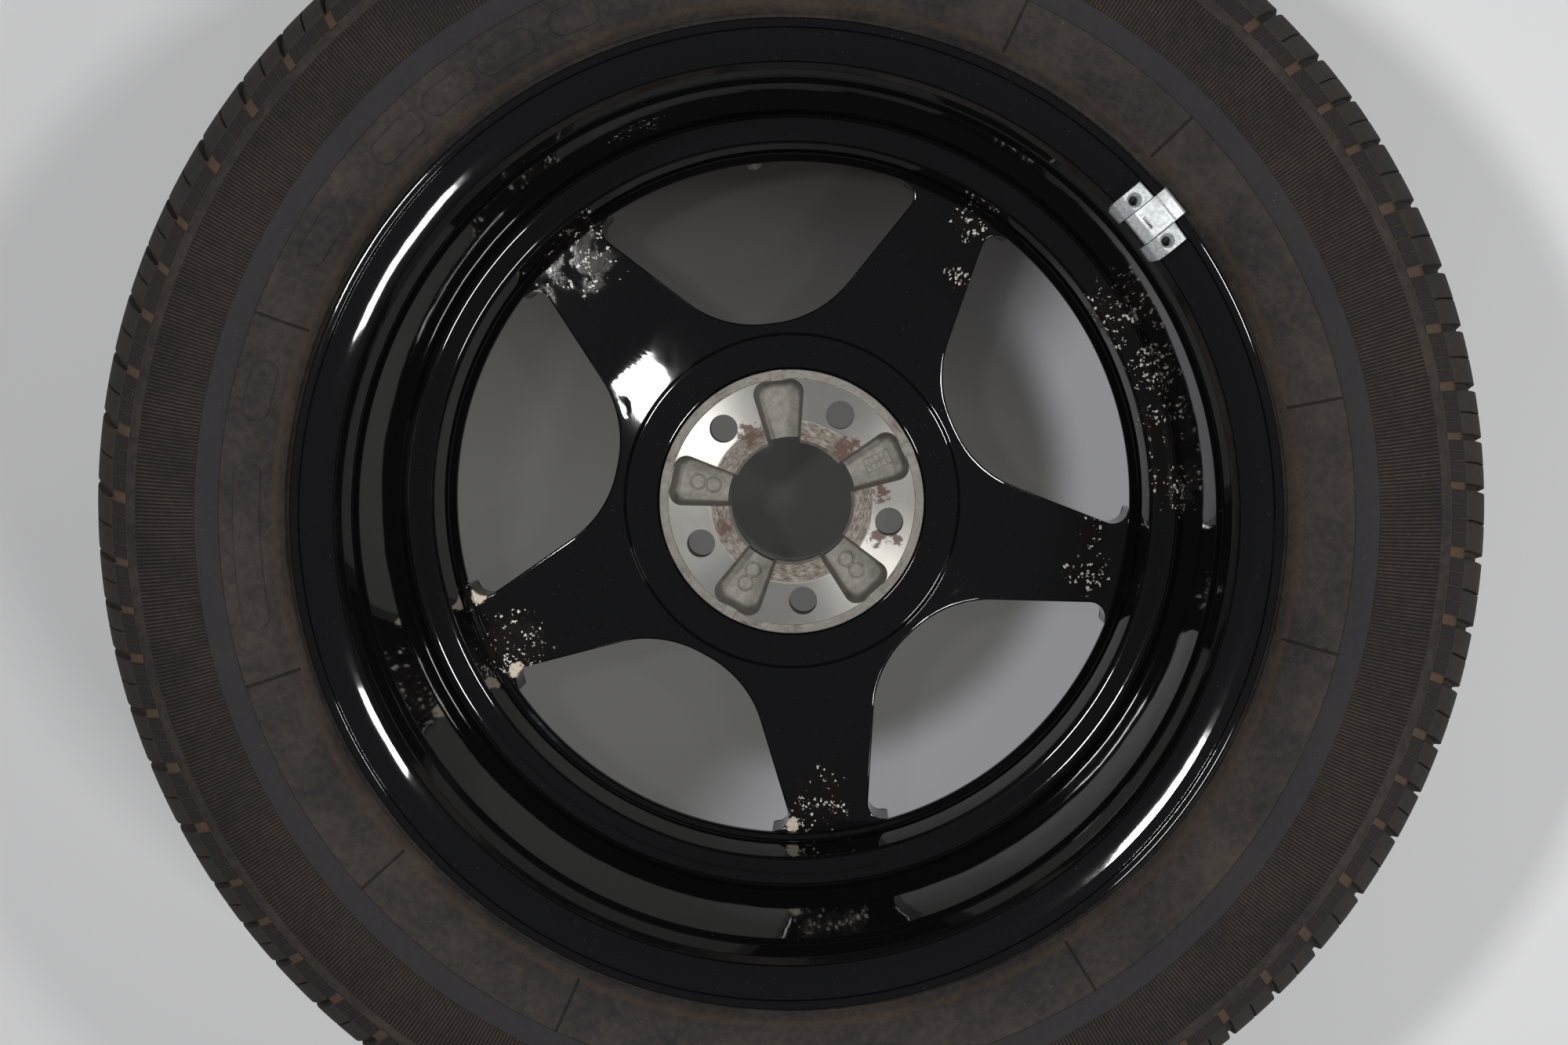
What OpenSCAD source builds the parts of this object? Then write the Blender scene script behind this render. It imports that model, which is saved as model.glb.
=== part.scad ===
/* [Tyre] */
// Section width marked on the tyre
section_w = 225; // [215:1:235]
// Section height as a percentage of the section width
aspect = 55; // [50:1:60]
// How much wider the mounted tyre is than its marked width
section_grow = 7.6; // [4:0.1:10]
// Thickness of the sidewalls
side_t = 9; // [7:0.5:11]
// Thickness of the tread and belts at the crown
crown_t = 16; // [13:0.5:18]
// Width of the grooves that run round the tread
groove_w = 9; // [6:0.5:11]
// Depth of the grooves that run round the tread
groove_d = 6.5; // [4:0.5:8]
// Width of the slots across the shoulder ribs
slot_w = 3.4; // [2:0.1:5]
// Depth of the slots where they cross the shoulder
slot_d = 3; // [2:0.1:4]
// Height of the raised bands on the sidewalls
band_h = 0.6; // [0.3:0.1:1.2]

/* [Rim] */
// Nominal rim diameter in inches
rim_code = 17; // [16:1:18]
// Width between the two flanges
rim_w = 177.8; // [171:0.1:184]
// Height of the flanges above the bead seats
flange_h = 17.3; // [16:0.1:18]
// Thickness of the rim wall
wall_t = 5; // [4:0.1:6]
// Width of a bead seat
seat_w = 19.8; // [18:0.1:21]
// Depth of the well below the bead seats
well_depth = 23; // [21:0.5:25]
// Width of the floor of the well
well_w = 21; // [16:0.5:25]
// Distance of the well from the outboard flange
well_inset = 43.9; // [42:0.1:47]
// Width of the ledge inside the well that the spokes join
ledge_w = 7.3; // [5:0.1:9]
// Thickness of that ledge at the windows
ledge_t = 5.5; // [4:0.1:7]

/* [Spokes and windows] */
// Distance from the wheel axis to the inner end of a window
window_nose = 97.2; // [94:0.1:102]
// Half the width of a spoke at its outer end
spoke_half = 23.2; // [20:0.1:26]
// Angle by which each side of a spoke leans inwards towards the rim
spoke_taper = 10; // [7:0.5:12]
// Radius of the inner corners of a window
nose_r = 60; // [45:1:65]
// Radius of the outer corners of a window
corner_r = 8.5; // [6:0.5:11]
// Thickness of a spoke
spoke_t = 25; // [20:0.5:28]

/* [Hub] */
// Distance of the hub face from the middle of the rim, towards the outboard side
hub_offset = 47; // [44:0.5:50]
// Diameter of the centre bore
bore_d = 65.1; // [60:0.1:70]
// Length of the centre bore
bore_len = 12; // [9:0.5:13]
// Diameter of the circle of bolt holes
pcd = 108; // [105:0.1:112]
// Diameter of the bolt holes
bolt_hole_d = 15.3; // [14:0.1:16]
// Length of the bolt holes between the hub face and the bolt seats
bolt_land = 15; // [12:0.5:18]
// Outer diameter of the hub face
pad_d = 143.3; // [140:0.1:146]
// Outer diameter of the raised boss round the hub face
boss_d = 178; // [172:1:184]
// Height of the hub face above the backs of the spokes
pad_rise = 9; // [6:0.5:12]
// Depth of the cast pockets in the hub face
pocket_depth = 14; // [13.5:0.5:16]
// Width of a pocket at its outer end
pocket_out_w = 30.4; // [26:0.1:32]
// Width of a pocket where it opens into the bore
pocket_in_w = 19; // [16:0.1:22]

/* [Valve] */
// Angle of the valve from the plane of the wheel
valve_tilt = 55; // [50:1:60]
// Diameter of the valve hole
valve_hole_d = 11.5; // [11.3:0.1:12]
// Thickness of the rim wall at the valve hole
valve_wall = 4.5; // [3.5:0.1:5]
// Length of the valve outside the rim, without its cap
valve_len = 33; // [31:0.5:36]
// Diameter of the brass stem
stem_d = 7.7; // [7.5:0.1:8]
// Diameter of the passage that holds the valve core
core_d = 5.3; // [5.2:0.1:5.6]
// Outer diameter of the valve cap
cap_d = 9.8; // [9.4:0.1:11]
// Length of the valve cap
cap_len = 10.5; // [9:0.5:12]

/* [Balance weight] */
// Direction of the weight round the rim
weight_az = 39.6; // [0:0.1:359]
// Length of the weight along the rim
weight_len = 34; // [31:0.5:40]
// Width of the clip
clip_w = 14.8; // [12:0.1:16]
// Thickness of the clip
clip_t = 1.2; // [1:0.1:1.4]
// Distance between the two holes in the weight
ear_gap = 24.2; // [22:0.1:25]
// Diameter of those holes
ear_hole_d = 4.6; // [3:0.1:5.2]

/* [Hidden] */
$fn = 96;
// Clearance between pieces that are pressed, moulded or clipped together
seat_gap = 0.1;
// Reach of a cut beyond the face that it starts from
past = 1;
spokes = 5;
// Height of the block that a spoke's outline is cut from, well beyond the wheel's front
block_h = 200;
// Direction of the first spoke, of the first window, and of the window that holds the valve
spoke_az = 60.75;
window_az = spoke_az - 180 / spokes;
valve_az = window_az + 360 / spokes;
// Rim: bead seats, flanges and well, as radii and heights above the middle of the rim
seat_r = (rim_code * 25.4 + 4.8) / 2;
tip_r = seat_r + flange_h;
half_w = rim_w / 2;
seat_drop = seat_w * tan(5);
bead_r = seat_r - wall_t;
well_r = seat_r - well_depth;
well_z = -half_w + well_inset;
well_in_r = well_r - wall_t;
window_r = well_in_r - ledge_w;
ledge_z = well_z - 7.5;
// The sloping wall between the well and the outboard bead seat, which holds the valve
slope_dir = [sin(valve_tilt), -cos(valve_tilt)];
slope_len = (seat_r - 2.5 - well_r) / slope_dir[0];
slope_end = [well_r, well_z] + slope_len * slope_dir;
valve_seat = [well_r, well_z] + slope_len / 2 * slope_dir;
// Hub and spokes
hub_z = -hub_offset;
back_z = hub_z - pad_rise;
front_z = back_z - spoke_t;
rim_front_z = ledge_z - spoke_t - 7;
relief_r = bore_d / 2 + 2.4;
pad_r = pad_d / 2;
boss_r = boss_d / 2;
// Tyre: crown, bead, widest place and shoulder
crown_r = rim_code * 25.4 / 2 + section_w * aspect / 100;
wide_z = (section_w + section_grow) / 2;
wide_r = seat_r + 0.537 * (crown_r - seat_r);
bead_top = [tip_r + 5.9, half_w + 9.6];
shoulder = [crown_r - 4.05, 0.305 * section_w];
low_arc = arc_radius([wide_r, wide_z], bead_top);
high_arc = arc_radius([wide_r, wide_z], shoulder);
crown_arc = shoulder[1] * shoulder[1] / (2 * (crown_r - shoulder[0]));
// Ends of the sidewall's bands, as radii, and how far each band stands out
band_r = [bead_top[0], for (s = [0.381, 0.467, 0.71, 0.805]) at_share(s)];
band_lift = [0, 1, 0.3, 0.7];
// Middles of the grooves
groove_out = 0.246 * section_w;
groove_in = 0.09 * section_w;
// Lean of the slots from straight across
slot_lean = 14;
// Tread pitches of three lengths, in degrees, two of each at a time
pitch_deg = [4.2, 5, 5.8];
pitch_runs = 12;
// Balance weight: the land on the flange that it sits on
land_in = [seat_r - 2.2, half_w + 2.5];
land_out = [tip_r - 9.8, half_w + 7];
land_dir = unit(land_out - land_in);
tip_top = half_w + 9.5;
weight_in = seat_r - 7.1;
weight_out = tip_r - 6;
weight_top = half_w + 13.1;
web_top = half_w + 9.6;
weight_deg = asin(weight_len / weight_in);
clip_side = 0.35;
// Valve and core: places along the valve's axis, from the rim wall's tyre side
stem_r = stem_d / 2;
// Length of the part of the core that lies beyond the seat in the stem
core_out = 10;
seat_s = valve_len - core_out;
seat_neck = core_d / 2 - 0.6;
plug_s = valve_len - 5.5;
barrel_s = seat_s - 4;
barrel_r = 1.7;
cup_s = barrel_s - 1.1;
collar_s = plug_s - 1;
pin_r = 0.5;
// Clearance between the pieces that turn or slide in one another
run_gap = 0.05;

// Direction of a vector, with length one
function unit(v) = v / norm(v);

// Radius of an arc that is level at its top and runs through a second point
function arc_radius(top, p) = (pow(top[0] - p[0], 2) + pow(top[1] - p[1], 2)) / (2 * (top[1] - p[1]));

// Rounds the corners of an outline. Each row is x, y and the radius of that corner
function rounded(rows, n = 6) = [for (i = [0:len(rows) - 1]) each corner(
    rows[i], rows[(i + len(rows) - 1) % len(rows)], rows[(i + 1) % len(rows)], n)];

function corner(c, before, after, n) = c[2] == 0 ? [[c[0], c[1]]] : let (
    p = [c[0], c[1]],
    u = unit([before[0], before[1]] - p),
    v = unit([after[0], after[1]] - p),
    half = acos(u * v) / 2,
    mid = p + unit(u + v) * c[2] / sin(half),
    first = p + u * c[2] / tan(half) - mid,
    last = p + v * c[2] / tan(half) - mid,
    a = atan2(first[1], first[0]),
    b = atan2(last[1], last[0]),
    turn = b - a > 180 ? b - a - 360 : b - a < -180 ? b - a + 360 : b - a)
    [for (k = [0:n]) mid + c[2] * [cos(a + turn * k / n), sin(a + turn * k / n)]];

// Height of the tyre's sidewall at a radius
function side_z(r) = wide_z + (r < wide_r
    ? sqrt(pow(low_arc, 2) - pow(wide_r - r, 2)) - low_arc
    : sqrt(pow(high_arc, 2) - pow(r - wide_r, 2)) - high_arc);

// Radius of the tread at a height
function tread_r(z) = crown_r - z * z / (2 * crown_arc);

// Radius at a share of the way from the bead seat to the crown
function at_share(s) = seat_r + s * (crown_r - seat_r);

// Runs an outline backwards, and mirrors one to the outboard side
function reversed(p) = [for (i = [len(p) - 1:-1:0]) p[i]];
function flipped(p) = [for (q = p) [q[0], -q[1], q[2]]];

// Turns a shape to each spoke's or window's place
module around(first) {
    for (i = [0:spokes - 1]) rotate(first + i * 360 / spokes) children();
}

// Turns a shape from the valve's own axis, which leaves the rim along +Z, to its place on the rim
module at_valve() {
    rotate(valve_az) translate([valve_seat[0], 0, valve_seat[1]]) rotate([0, 270 - valve_tilt, 0]) children();
}

// Section of the rim, from the inboard flange down the tyre side and back up the inside
module rim_section() {
    tyre_side = [
        [tip_r, half_w + 6, 1.2],
        [tip_r - 4.2, half_w, 9.5],
        [seat_r, half_w, 6.5],
        [seat_r - seat_drop, half_w - seat_w, 0.8],
        [seat_r - 0.7, half_w - seat_w - 4, 3]];
    barrel = [
        [seat_r - 4.7, half_w - seat_w - 14, 12],
        [seat_r - 9, well_z + well_w + 9, 8],
        [well_r, well_z + well_w, 8],
        [well_r, well_z, 6],
        [slope_end[0], slope_end[1], 3]];
    face_side = [
        [tip_r - 0.4, -tip_top + 0.3, 2],
        [tip_r - 6, -tip_top, 2],
        [seat_r - 2.2, -half_w - 1, 6],
        [bead_r, -half_w + 8, 5],
        [bead_r - 0.3, slope_end[1] - 6.7, 5],
        [well_r + 8.7, ledge_z - ledge_t + 0.4, 6],
        [window_r, ledge_z - ledge_t, 2.4],
        [window_r, ledge_z, 2.4],
        [window_r + 4, ledge_z + 3.5, 3]];
    inside = [
        [well_in_r - 0.3, well_z + well_w + 0.5, 4],
        [bead_r - 9, well_z + well_w + 5.5, 6],
        [bead_r - 4.3, half_w - seat_w - 3, 1.5],
        [bead_r - seat_drop, half_w - seat_w + 0.5, 1.5],
        [bead_r, half_w - 5, 3],
        [land_in[0], land_in[1], 4],
        [land_out[0], land_out[1], 2],
        [tip_r - 5.2, half_w + 8, 0.4],
        [tip_r - 4.4, tip_top, 0.8],
        [tip_r - 0.4, tip_top - 0.3, 2]];
    polygon(rounded(concat(tyre_side, barrel, reversed(flipped(tyre_side)), face_side, inside), 5));
}

// Outline of a window: long sides along two spokes, a wide round nose and an edge round the rim
module window_outline() {
    half_turn = 180 / spokes;
    lean = half_turn + spoke_taper;
    // A point on the side of the window, just inside the rim
    end_r = window_r - 18;
    side = [cos(half_turn) * end_r + sin(half_turn) * spoke_half, sin(half_turn) * end_r - cos(half_turn) * spoke_half];
    nose_y = side[1] - (side[0] - window_nose) * tan(lean);
    arc_r = window_r - corner_r;
    // The corner's centre lies corner_r inside the side and arc_r from the axis
    reach = side[0] * sin(lean) - side[1] * cos(lean) + corner_r;
    along = sqrt(arc_r * arc_r - reach * reach);
    mid = [reach * sin(lean) + along * cos(lean), -reach * cos(lean) + along * sin(lean)];
    mid_a = atan2(mid[1], mid[0]);
    corner_arc = [for (k = [0:5]) let (a = lean + 90 + (mid_a - lean - 90) * k / 5) mid + corner_r * [cos(a), sin(a)]];
    far_arc = [for (k = [1:7]) let (a = mid_a * (1 - k / 8)) window_r * [cos(a), sin(a)]];
    tip = corner_arc[0];
    nose = corner([window_nose, nose_y, nose_r], [window_nose, 0], tip, 12);
    upper = concat(nose, corner_arc, far_arc);
    polygon(concat(upper, [[window_r, 0]], [for (i = [len(upper) - 1:-1:0]) [upper[i][0], -upper[i][1]]]));
}

// Section of the hub between the bore and the inner ends of the windows
module hub_section() {
    polygon(rounded([
        [bore_d / 2 + 1.75, hub_z, 0],
        [pad_r - 5, hub_z, 0],
        [pad_r - 4.6, hub_z - 0.5, 0],
        [pad_r, hub_z - 0.5, 0.8],
        [pad_r + 0.8, hub_z - 3.2, 1.5],
        [boss_r - 3, hub_z - 4.4, 8],
        [boss_r + 5, back_z, 8],
        [window_nose + 6, back_z, 0],
        [window_nose + 6, front_z + 2, 3],
        [boss_r - 8, front_z, 20],
        [relief_r + 5, front_z - 1, 3],
        [relief_r + 3, front_z + 9, 0],
        [relief_r, front_z + 9, 0],
        [relief_r, hub_z - bore_len - 1.5, 0],
        [bore_d / 2, hub_z - bore_len, 0],
        [bore_d / 2, hub_z - 1.75, 0]], 4));
}

// Section that bounds the spokes, from inside the hub to the outboard bead seat
module spoke_section() {
    polygon(rounded([
        [boss_r - 12, back_z, 0],
        [boss_r + 30, back_z, 60],
        [window_r + 1.5, ledge_z - 2, 3],
        [well_r + 7, ledge_z - 4, 0],
        [bead_r + 1, slope_end[1] - 7, 0],
        [bead_r + 1, rim_front_z, 3],
        [(window_r + boss_r) / 2, (rim_front_z + front_z) / 2 + 1, 60],
        [boss_r - 12, front_z + 1, 0]], 5));
}

// Outline of a spoke before the windows trim its sides
module spoke_outline() {
    wide = spoke_half + corner_r + 1.5;
    polygon([[boss_r - 12, -60], [window_r - 4, -wide], [tip_r, -wide], [tip_r, wide], [window_r - 4, wide],
        [boss_r - 12, 60]]);
}

// Cast pocket in the hub face, tapered towards its floor and open to the bore
module pocket() {
    out = pad_r - 5.2;
    in = bore_d / 2 - 8;
    middle = (out + in) / 2;
    slant = (pocket_out_w - pocket_in_w) / (out - bore_d / 2);
    half_in = pocket_in_w / 2 - slant * (bore_d / 2 - in) / 2;
    rows = rounded([
        [in - middle, -half_in, 0],
        [out - middle, -pocket_out_w / 2, 7],
        [out - middle, pocket_out_w / 2, 7],
        [in - middle, half_in, 0]], 5);
    translate([middle, 0, hub_z + past]) mirror([0, 0, 1])
        linear_extrude(height = pocket_depth + past, scale = 0.82) polygon(rows);
}

// Hole for a wheel bolt, with its cone seat and the recess for the bolt's head
module bolt_hole() {
    seat_z = hub_z - bolt_land;
    head_r = bolt_hole_d / 2 + 6.2;
    translate([pcd / 2, 0, 0]) {
        translate([0, 0, seat_z - past]) cylinder(d = bolt_hole_d, h = bolt_land + 2 * past);
        translate([0, 0, seat_z - 8]) cylinder(r1 = head_r - 1, r2 = bolt_hole_d / 2, h = 8);
        translate([0, 0, front_z - 10]) cylinder(r = head_r, h = seat_z - 8 - front_z + 10);
    }
}

// Cast alloy wheel
module alloy_wheel() {
    color([0.03, 0.03, 0.035]) difference() {
        union() {
            rotate_extrude() rim_section();
            rotate_extrude() hub_section();
            intersection() {
                rotate_extrude() spoke_section();
                around(spoke_az) translate([0, 0, -block_h]) linear_extrude(block_h) spoke_outline();
            }
        }
        around(window_az) translate([0, 0, rim_front_z - 10])
            linear_extrude(height = ledge_z - rim_front_z + 18) window_outline();
        around(window_az) pocket();
        around(spoke_az) bolt_hole();
        at_valve() {
            translate([0, 0, -past]) cylinder(d = valve_hole_d, h = valve_wall + 2 * past);
            translate([0, 0, valve_wall]) cylinder(r = valve_hole_d / 2 + 5.5, h = 20);
        }
    }
}

// Section of the tyre. The sidewall's bands are joined by short steps
module tyre_section() {
    g = seat_gap;
    wall = [for (b = [0:3], k = [0:4])
        let (r = band_r[b] + (band_r[b + 1] - band_r[b]) * k / 4 + (k == 0 ? band_h : 0))
        [r, side_z(r) + band_lift[b] * band_h, 0]];
    turn_in = asin((band_r[4] - wide_r) / high_arc);
    turn_out = asin((shoulder[0] - wide_r) / high_arc);
    upper = [for (k = [1:6]) let (a = turn_in + (turn_out - turn_in) * k / 6)
        [wide_r + high_arc * sin(a), wide_z - high_arc * (1 - cos(a)), 0]];
    // One groove inside each shoulder rib and one on each side of the middle rib
    grooves = [for (z = [groove_out, groove_in], p = [[0.5, 0], [0.38, 1], [-0.38, 1], [-0.5, 0]])
        [tread_r(z) - p[1] * groove_d, z + p[0] * groove_w, 0]];
    bead = [
        [seat_r - seat_drop + g, half_w - seat_w, 1],
        [seat_r + g, half_w - g, 6.6],
        [tip_r - 6.6, half_w - g, 6],
        [tip_r + 2, half_w + 3.4, 4]];
    inside = [
        [seat_r + 9, half_w - seat_w + 1.5, 5],
        [tip_r + 9, half_w - 1, 20],
        [wide_r - 8, wide_z - side_t, 24],
        [wide_r + 22, wide_z - side_t - 6, 18],
        [crown_r - crown_t, shoulder[1] - 10, 40]];
    outer = concat(bead, wall, upper, grooves);
    polygon(rounded(concat(outer, reversed(flipped(outer)), flipped(inside), reversed(inside)), 4));
}

// Radius of the floor of a shoulder slot at a height
function slot_floor(z) = z < shoulder[1] ? tread_r(z) - slot_d - 1
    : wide_r + sqrt(pow(high_arc - slot_d, 2) - pow(z - wide_z + high_arc, 2));

// Slot across the shoulder rib, from the outer groove to the sidewall
module shoulder_slot() {
    end_r = at_share(0.8);
    floor_rows = [for (k = [0:5]) let (z = groove_out + (side_z(end_r) - 10 - groove_out) * k / 5) [slot_floor(z), z]];
    rotate([90 - slot_lean, 0, 0]) translate([0, 0, -slot_w / 2]) linear_extrude(slot_w) polygon(concat(floor_rows, [
        [end_r, side_z(end_r) - 1.2],
        [end_r - 3, side_z(end_r - 3) + 2],
        [crown_r + 5, side_z(end_r) + 12],
        [crown_r + 8, groove_out]]));
}

// Tyre, with its tread slots in pitches of three lengths
module tyre() {
    run = 360 / pitch_runs;
    color([0.17, 0.14, 0.12]) difference() {
        rotate_extrude() tyre_section();
        for (j = [0:pitch_runs - 1], k = [0:2], m = [0:1]) {
            at = j * run + (k > 0 ? 2 * pitch_deg[0] : 0) + (k > 1 ? 2 * pitch_deg[1] : 0) + m * pitch_deg[k];
            rotate(at) shoulder_slot();
            rotate(at + pitch_deg[1] / 2) mirror([0, 0, 1]) shoulder_slot();
        }
    }
}

// Turns a shape from the X axis to the weight's place on the rim
module at_weight() {
    rotate(weight_az) children();
}

// Section of the balance weight, seated on the back of the flange
module weight_section() {
    up = [-land_dir[1], land_dir[0]] * seat_gap * 1.5;
    low = land_in + up;
    high = land_out + up;
    polygon(rounded([
        [weight_in, half_w - 3.2, 1],
        [bead_r - 0.25, half_w - 3.6, 0],
        [low[0], low[1], 0],
        [high[0], high[1], 0],
        [weight_out, high[1] + 0.9, 0.3],
        [weight_out - 0.3, weight_top, 1],
        [weight_out - 10.6, weight_top - 0.8, 3],
        [weight_in + 2.3, weight_top - 5.5, 4],
        [weight_in, weight_top - 10.5, 2]], 5));
}

// Cast balance weight: two ears with a countersunk hole each, and a low web between them for the clip
module weight_body() {
    half = weight_len / 2;
    web_in = weight_in + 3.3;
    color([0.62, 0.65, 0.66]) at_weight() difference() {
        intersection() {
            rotate(-weight_deg) rotate_extrude(angle = 2 * weight_deg) weight_section();
            linear_extrude(2 * tip_top) polygon(rounded([
                [weight_in - 1, -half, 4.5],
                [weight_out + 1, -half, 0],
                [weight_out + 1, half, 0],
                [weight_in - 1, half, 4.5]]));
        }
        rotate([90, 0, 0]) translate([0, 0, -clip_w / 2 - clip_side]) linear_extrude(clip_w + 2 * clip_side) polygon([
            [weight_in - 5, half_w - 15],
            [web_in, half_w - 15],
            [web_in, web_top - 3.2],
            [web_in + 4, web_top],
            [weight_out + 5, web_top + 0.8],
            [weight_out + 5, weight_top + 5],
            [weight_in - 5, weight_top + 5]]);
        for (side = [-1, 1]) translate([weight_in + 9.9, side * ear_gap / 2, 0]) {
            translate([0, 0, half_w - 10]) cylinder(d = ear_hole_d, h = 25);
            translate([0, 0, weight_top - 3]) cylinder(d1 = ear_hole_d, d2 = ear_hole_d + 3.6, h = 3.5);
        }
    }
}

// Steel strip that hooks over the flange and holds the weight, with a slot near its inner end
module weight_clip() {
    g = seat_gap;
    t = clip_t;
    web_in = weight_in + 3.3;
    color([0.72, 0.74, 0.74]) at_weight() difference() {
        rotate([90, 0, 0]) translate([0, 0, -clip_w / 2]) linear_extrude(clip_w) polygon(rounded([
            [tip_r + g, half_w + 5, 0],
            [tip_r + g, tip_top - 0.9, 0.5],
            [tip_r - 0.5, tip_top + g, 0.5],
            [tip_r - 4.6, tip_top + g, 1],
            [weight_out, web_top + 0.8 + g, 1],
            [web_in + 4, web_top + g, 1.5],
            [web_in - g, web_top - 3.1, 1],
            [web_in - g, web_top - 6, 0],
            [web_in - g - t, web_top - 6, 0],
            [web_in - g - t, web_top - 2.4, 2],
            [web_in + 3.4, web_top + t + g, 2.5],
            [weight_out, web_top + 0.8 + g + t, 2],
            [tip_r - 4.4, tip_top + g + t, 2],
            [tip_r + 0.2, tip_top + g + t, 1.2],
            [tip_r + g + t, tip_top - 1, 1.2],
            [tip_r + g + t, half_w + 5, 0]], 4));
        translate([web_in + 4.6, -3.15, web_top - 3]) cube([1.3, 6.3, 8]);
    }
}

// Rubber body of the valve, snapped into its hole in the rim
module valve_body() {
    hole_r = valve_hole_d / 2 - seat_gap / 2;
    color([0.05, 0.05, 0.05]) at_valve() rotate_extrude() polygon(rounded([
        [stem_r, -4, 0],
        [stem_r, valve_len - 9, 0],
        [stem_r + 1.1, valve_len - 9, 0.4],
        [stem_r + 1.5, valve_len - 13, 0],
        [hole_r + 1.9, valve_wall + 6, 3],
        [hole_r + 1.9, valve_wall + seat_gap, 1],
        [hole_r, valve_wall + seat_gap, 0],
        [hole_r, -seat_gap, 0],
        [hole_r + 3.6, -seat_gap, 1],
        [hole_r + 3.2, -3, 1],
        [stem_r + 1.5, -5.5, 1],
        [stem_r + 0.9, -5.5, 0],
        [stem_r + 0.9, -4, 0]], 4));
}

// Brass stem of the valve, moulded into the rubber, with a seat for the core half way down its passage
module valve_stem() {
    bore = core_d / 2;
    out = stem_r - seat_gap / 2;
    color([0.78, 0.62, 0.32]) at_valve() rotate_extrude() polygon([
        [seat_neck, -5.5],
        [stem_r + 0.85, -5.5],
        [stem_r + 0.85, -4.05],
        [out, -4.05],
        [out, valve_len - 0.6],
        [out - 0.6, valve_len],
        [bore + 0.4, valve_len],
        [bore, valve_len - 0.4],
        [bore, seat_s + 1.6],
        [seat_neck, seat_s],
        [seat_neck, -5.5]]);
}

// Screwed cap, hollow up to the disc that seals it
module valve_cap() {
    base = valve_len - 8;
    color([0.16, 0.16, 0.16]) at_valve() rotate_extrude() polygon(rounded([
        [stem_r + run_gap, base, 0],
        [cap_d / 2 - 0.3, base, 0.2],
        [cap_d / 2, base + 1, 0],
        [cap_d / 2 - 0.2, base + cap_len - 1.5, 1.2],
        [cap_d / 2 - 1.6, base + cap_len, 0.6],
        [0, base + cap_len, 0],
        [0, valve_len + 1.1, 0],
        [stem_r + run_gap, valve_len + 1.1, 0]], 4));
}

// Rubber disc in the cap, just clear of the mouth of the stem
module cap_seal() {
    color([0.1, 0.1, 0.1]) at_valve() translate([0, 0, valve_len + seat_gap]) cylinder(r = stem_r - run_gap, h = 0.9);
}

// Screw that holds the core in the stem, with a bridge that guides the pin
module core_plug() {
    color([0.76, 0.6, 0.3]) at_valve() rotate_extrude() polygon([
        [pin_r + run_gap, plug_s],
        [core_d / 2 - run_gap, plug_s],
        [core_d / 2 - run_gap, valve_len - 0.8],
        [core_d / 2 - 0.6, valve_len - 0.5],
        [pin_r + 0.7, valve_len - 0.5],
        [pin_r + 0.7, plug_s + 2.4],
        [pin_r + run_gap, plug_s + 2.2]]);
}

// Barrel of the core, which the plug presses on the seat in the stem
module core_barrel() {
    color([0.74, 0.58, 0.3]) at_valve() rotate_extrude() polygon([
        [pin_r + 0.35, barrel_s],
        [barrel_r, barrel_s],
        [barrel_r, seat_s + 2.2],
        [barrel_r + 0.25, seat_s + 2.2],
        [barrel_r + 0.25, plug_s - run_gap],
        [barrel_r - 0.45, plug_s - run_gap],
        [barrel_r - 0.45, barrel_s + 1],
        [pin_r + 0.35, barrel_s + 1]]);
}

// Sealing ring of the core, between its barrel and the seat in the stem
module core_seal() {
    color([0.85, 0.2, 0.15]) at_valve() rotate_extrude() polygon([
        [barrel_r + run_gap, seat_s + 0.15],
        [seat_neck - run_gap, seat_s + 0.15],
        [core_d / 2 - 0.2, seat_s + 1.7],
        [core_d / 2 - 0.2, seat_s + 2.1],
        [barrel_r + run_gap, seat_s + 2.1]]);
}

// Pin that opens the valve when its end is pressed in, with a collar for the spring
module core_pin() {
    color([0.6, 0.6, 0.58]) at_valve() union() {
        translate([0, 0, cup_s - 0.7]) cylinder(r = pin_r, h = valve_len + 0.1 - cup_s);
        translate([0, 0, collar_s]) cylinder(r = barrel_r - 0.65, h = 0.6);
    }
}

// Cup on the inner end of the pin, which carries the seal
module core_cup() {
    color([0.74, 0.58, 0.3]) at_valve() rotate_extrude() polygon([
        [pin_r, cup_s - 0.5],
        [barrel_r, cup_s - 0.5],
        [barrel_r, cup_s + 0.9],
        [barrel_r - 0.2, cup_s + 0.9],
        [barrel_r - 0.2, cup_s],
        [pin_r, cup_s]]);
}

// Rubber ring in the cup, which closes on the end of the barrel
module cup_seal() {
    color([0.1, 0.1, 0.1]) at_valve() rotate_extrude() polygon([
        [pin_r, cup_s],
        [barrel_r - 0.2, cup_s],
        [barrel_r - 0.2, barrel_s - seat_gap],
        [pin_r, barrel_s - seat_gap]]);
}

// Spring between the foot of the barrel and the collar of the pin
module core_spring() {
    turns = 5;
    steps = 12;
    sides = 6;
    wire = 0.13;
    mean_r = pin_r + 0.32;
    rise = collar_s - barrel_s - 1 - 2 * wire - 0.1;
    rings = [for (i = [0:turns * steps]) let (a = 360 * i / steps, z = barrel_s + 1 + wire + 0.05 + rise * i / (turns * steps))
        for (j = [0:sides - 1]) let (b = 360 * j / sides, r = mean_r + wire * cos(b))
            [r * cos(a), r * sin(a), z + wire * sin(b)]];
    count = turns * steps;
    walls = [for (i = [0:count - 1], j = [0:sides - 1]) let (n = (j + 1) % sides)
        [i * sides + j, (i + 1) * sides + j, (i + 1) * sides + n, i * sides + n]];
    ends = [[for (j = [0:sides - 1]) j], [for (j = [sides - 1:-1:0]) count * sides + j]];
    color([0.65, 0.66, 0.68]) at_valve() polyhedron(rings, concat(walls, ends));
}

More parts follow.
